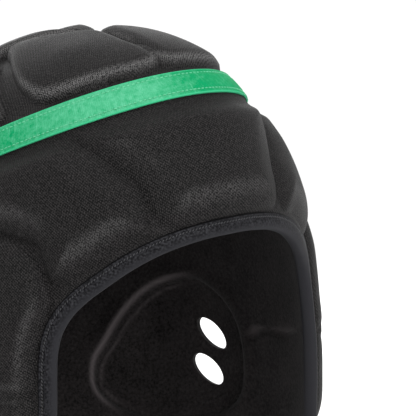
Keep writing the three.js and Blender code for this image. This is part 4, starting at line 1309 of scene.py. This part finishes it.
# Webbing: thick warp yarns side by side that the weft crosses every 1.4 mm, black, with a low satin shine
laid = add_node(tree, "ShaderNodeUVMap", {"uv_map": "along_mm"}).outputs["UV"]
warp = add_node(tree, "ShaderNodeTexWave", {"bands_direction": "Y"}, {"Vector": laid}, Scale=math.pi / 14.0, Distortion=0.6, Detail=1.0)
weft = add_node(tree, "ShaderNodeTexWave", {"bands_direction": "DIAGONAL"}, {"Vector": laid}, Scale=math.pi / 22.0, Distortion=0.4, Detail=1.0)
woven = add_node(tree, "ShaderNodeMath", {"operation": "MULTIPLY"}, {0: warp.outputs["Fac"], 1: weft.outputs["Fac"]})
tone = add_node(tree, "ShaderNodeValToRGB", {}, {"Fac": woven.outputs[0]})
tone.color_ramp.elements[0].color = linear("#070708")
tone.color_ramp.elements[1].color = linear("#252628")
bump = add_node(tree, "ShaderNodeBump", {}, {"Height": woven.outputs[0]}, Strength=0.7, Distance=0.0004)
tree.links.new(tone.outputs["Color"], shader.inputs["Base Color"])
tree.links.new(bump.outputs["Normal"], shader.inputs["Normal"])
shader.inputs["Roughness"].default_value = 0.7
shader.inputs["Specular IOR Level"].default_value = 0.12
chin_webbing = new_piece("chin_webbing", strap_mesh, webbing)
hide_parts("chin_strap")

box_paths = []
for from_end in (0.0, 1.0):
    inner, outer = (np.array([1.8, 7.6]) * MM / strap_length)
    corners = [(inner, -7.6), (inner, 7.6), (outer, 7.6), (outer, -7.6), (inner, -7.6), (outer, 7.6)]
    walked = []
    for (share_a, across_a), (share_b, across_b) in zip(corners, corners[1:]):
        for t in np.linspace(0, 1, 12, endpoint=False):
            walked.append((share_a + (share_b - share_a) * t, across_a + (across_b - across_a) * t))
    shares, across_mm = np.array(walked).T
    shares = np.where(from_end > 0.5, 1 - shares, shares)
    middle, along, across, outwards = strap_frames(shares)
    face_out = outwards * np.sign((outwards * middle).sum(1, keepdims=True))
    box_paths.append((middle + across * across_mm[:, None] * MM + face_out * STRAP_THICKNESS * 0.47, face_out, False))
sew("strap_stitches", box_paths, grey_thread, "webbing", pitch=2.4 * MM, length=2.0 * MM, width=0.5 * MM)

# ---- Strap fastener
# One plain sliding keeper, injection-moulded in black acetal, that the webbing runs through.
# Its edges are rounded, and five low ribs across each face give the fingers a grip.

KEEPER_LENGTH = 14 * MM
KEEPER_WALL = 2.1 * MM
KEEPER_CLEARANCE = 0.45 * MM
KEEPER_REACH = 78 * MM
KEEPER_BEVEL = 1.2 * MM
GRIP_RIB = 0.4 * MM
GRIP_PITCH = 2.2 * MM

hole = np.array([STRAP_WIDTH / 2 + KEEPER_CLEARANCE, 1.0 * MM + KEEPER_CLEARANCE])
profile = []
for along_share in np.linspace(-1, 1, 57):
    place = along_share * KEEPER_LENGTH / 2
    end = np.clip((abs(place) - (KEEPER_LENGTH / 2 - KEEPER_BEVEL)) / KEEPER_BEVEL, 0, 1)
    rounded = KEEPER_BEVEL * (1 - math.sqrt(1 - 0.98 * end**2))
    rib = GRIP_RIB * max(0.0, math.cos(2 * math.pi * place / GRIP_PITCH)) ** 2 * (abs(place) < 2.3 * GRIP_PITCH)
    profile.append((place, KEEPER_WALL - rounded, rib - GRIP_RIB))
profile += [(place, 0.0, 0.0) for place in np.linspace(1, -1, 15) * KEEPER_LENGTH / 2]
rows = []
for place, wall, rib in profile:
    share = np.array([1 - (KEEPER_REACH + place) / strap_length])
    middle, along, across, outwards = strap_frames(share)
    ring = []
    for turn in np.linspace(0, 2 * np.pi, 72, endpoint=False):
        c, s = math.cos(turn), math.sin(turn)
        power = 0.28 if wall > 0 else 0.14
        flat = gentle((0.86 - abs(c)) / 0.2)
        half_wide = hole[0] + wall
        half_thick = hole[1] + wall + rib * flat * (wall > 0)
        ring.append(
            middle[0]
            + across[0] * math.copysign(abs(c) ** power, c) * half_wide
            + outwards[0] * math.copysign(abs(s) ** (power * 1.6), s) * half_thick
        )
    rows.append(ring)
rows = np.array(rows)
count, around = rows.shape[:2]
i, k = np.meshgrid(np.arange(count), np.arange(around), indexing="ij")
faces = np.stack([i * around + k, (i + 1) % count * around + k, (i + 1) % count * around + (k + 1) % around, i * around + (k + 1) % around], -1)
keeper_mesh = bpy.data.meshes.new("strap_keeper")
keeper_mesh.from_pydata(rows.reshape(-1, 3), [], [tuple(f) for f in faces.reshape(-1, 4)])
keeper_mesh.update()
if signed_volume(keeper_mesh) < 0:
    keeper_mesh.flip_normals()
acetal, tree, shader = new_material("moulded_black_acetal")
# Moulded acetal: dense and slightly waxy, with the fine spark-eroded grain of its mould
place = add_node(tree, "ShaderNodeTexCoord").outputs["Object"]
grain = add_node(tree, "ShaderNodeTexNoise", {}, {"Vector": place}, Scale=2600.0, Detail=2.0)
cloud = add_node(tree, "ShaderNodeTexNoise", {}, {"Vector": place}, Scale=120.0, Detail=2.0)
tone = add_node(tree, "ShaderNodeValToRGB", {}, {"Fac": cloud.outputs["Fac"]})
tone.color_ramp.elements[0].color = linear("#0b0b0c")
tone.color_ramp.elements[1].color = linear("#161618")
rough = add_node(tree, "ShaderNodeMapRange", {}, {"Value": cloud.outputs["Fac"]}, To_Min=0.46, To_Max=0.58)
bump = add_node(tree, "ShaderNodeBump", {}, {"Height": grain.outputs["Fac"]}, Strength=0.25, Distance=0.0001)
tree.links.new(tone.outputs["Color"], shader.inputs["Base Color"])
tree.links.new(rough.outputs["Result"], shader.inputs["Roughness"])
tree.links.new(bump.outputs["Normal"], shader.inputs["Normal"])
shader.inputs["IOR"].default_value = 1.48
shader.inputs["Specular IOR Level"].default_value = 0.3
strap_keeper = new_piece("strap_keeper", keeper_mesh, acetal)
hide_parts("strap_fastener")
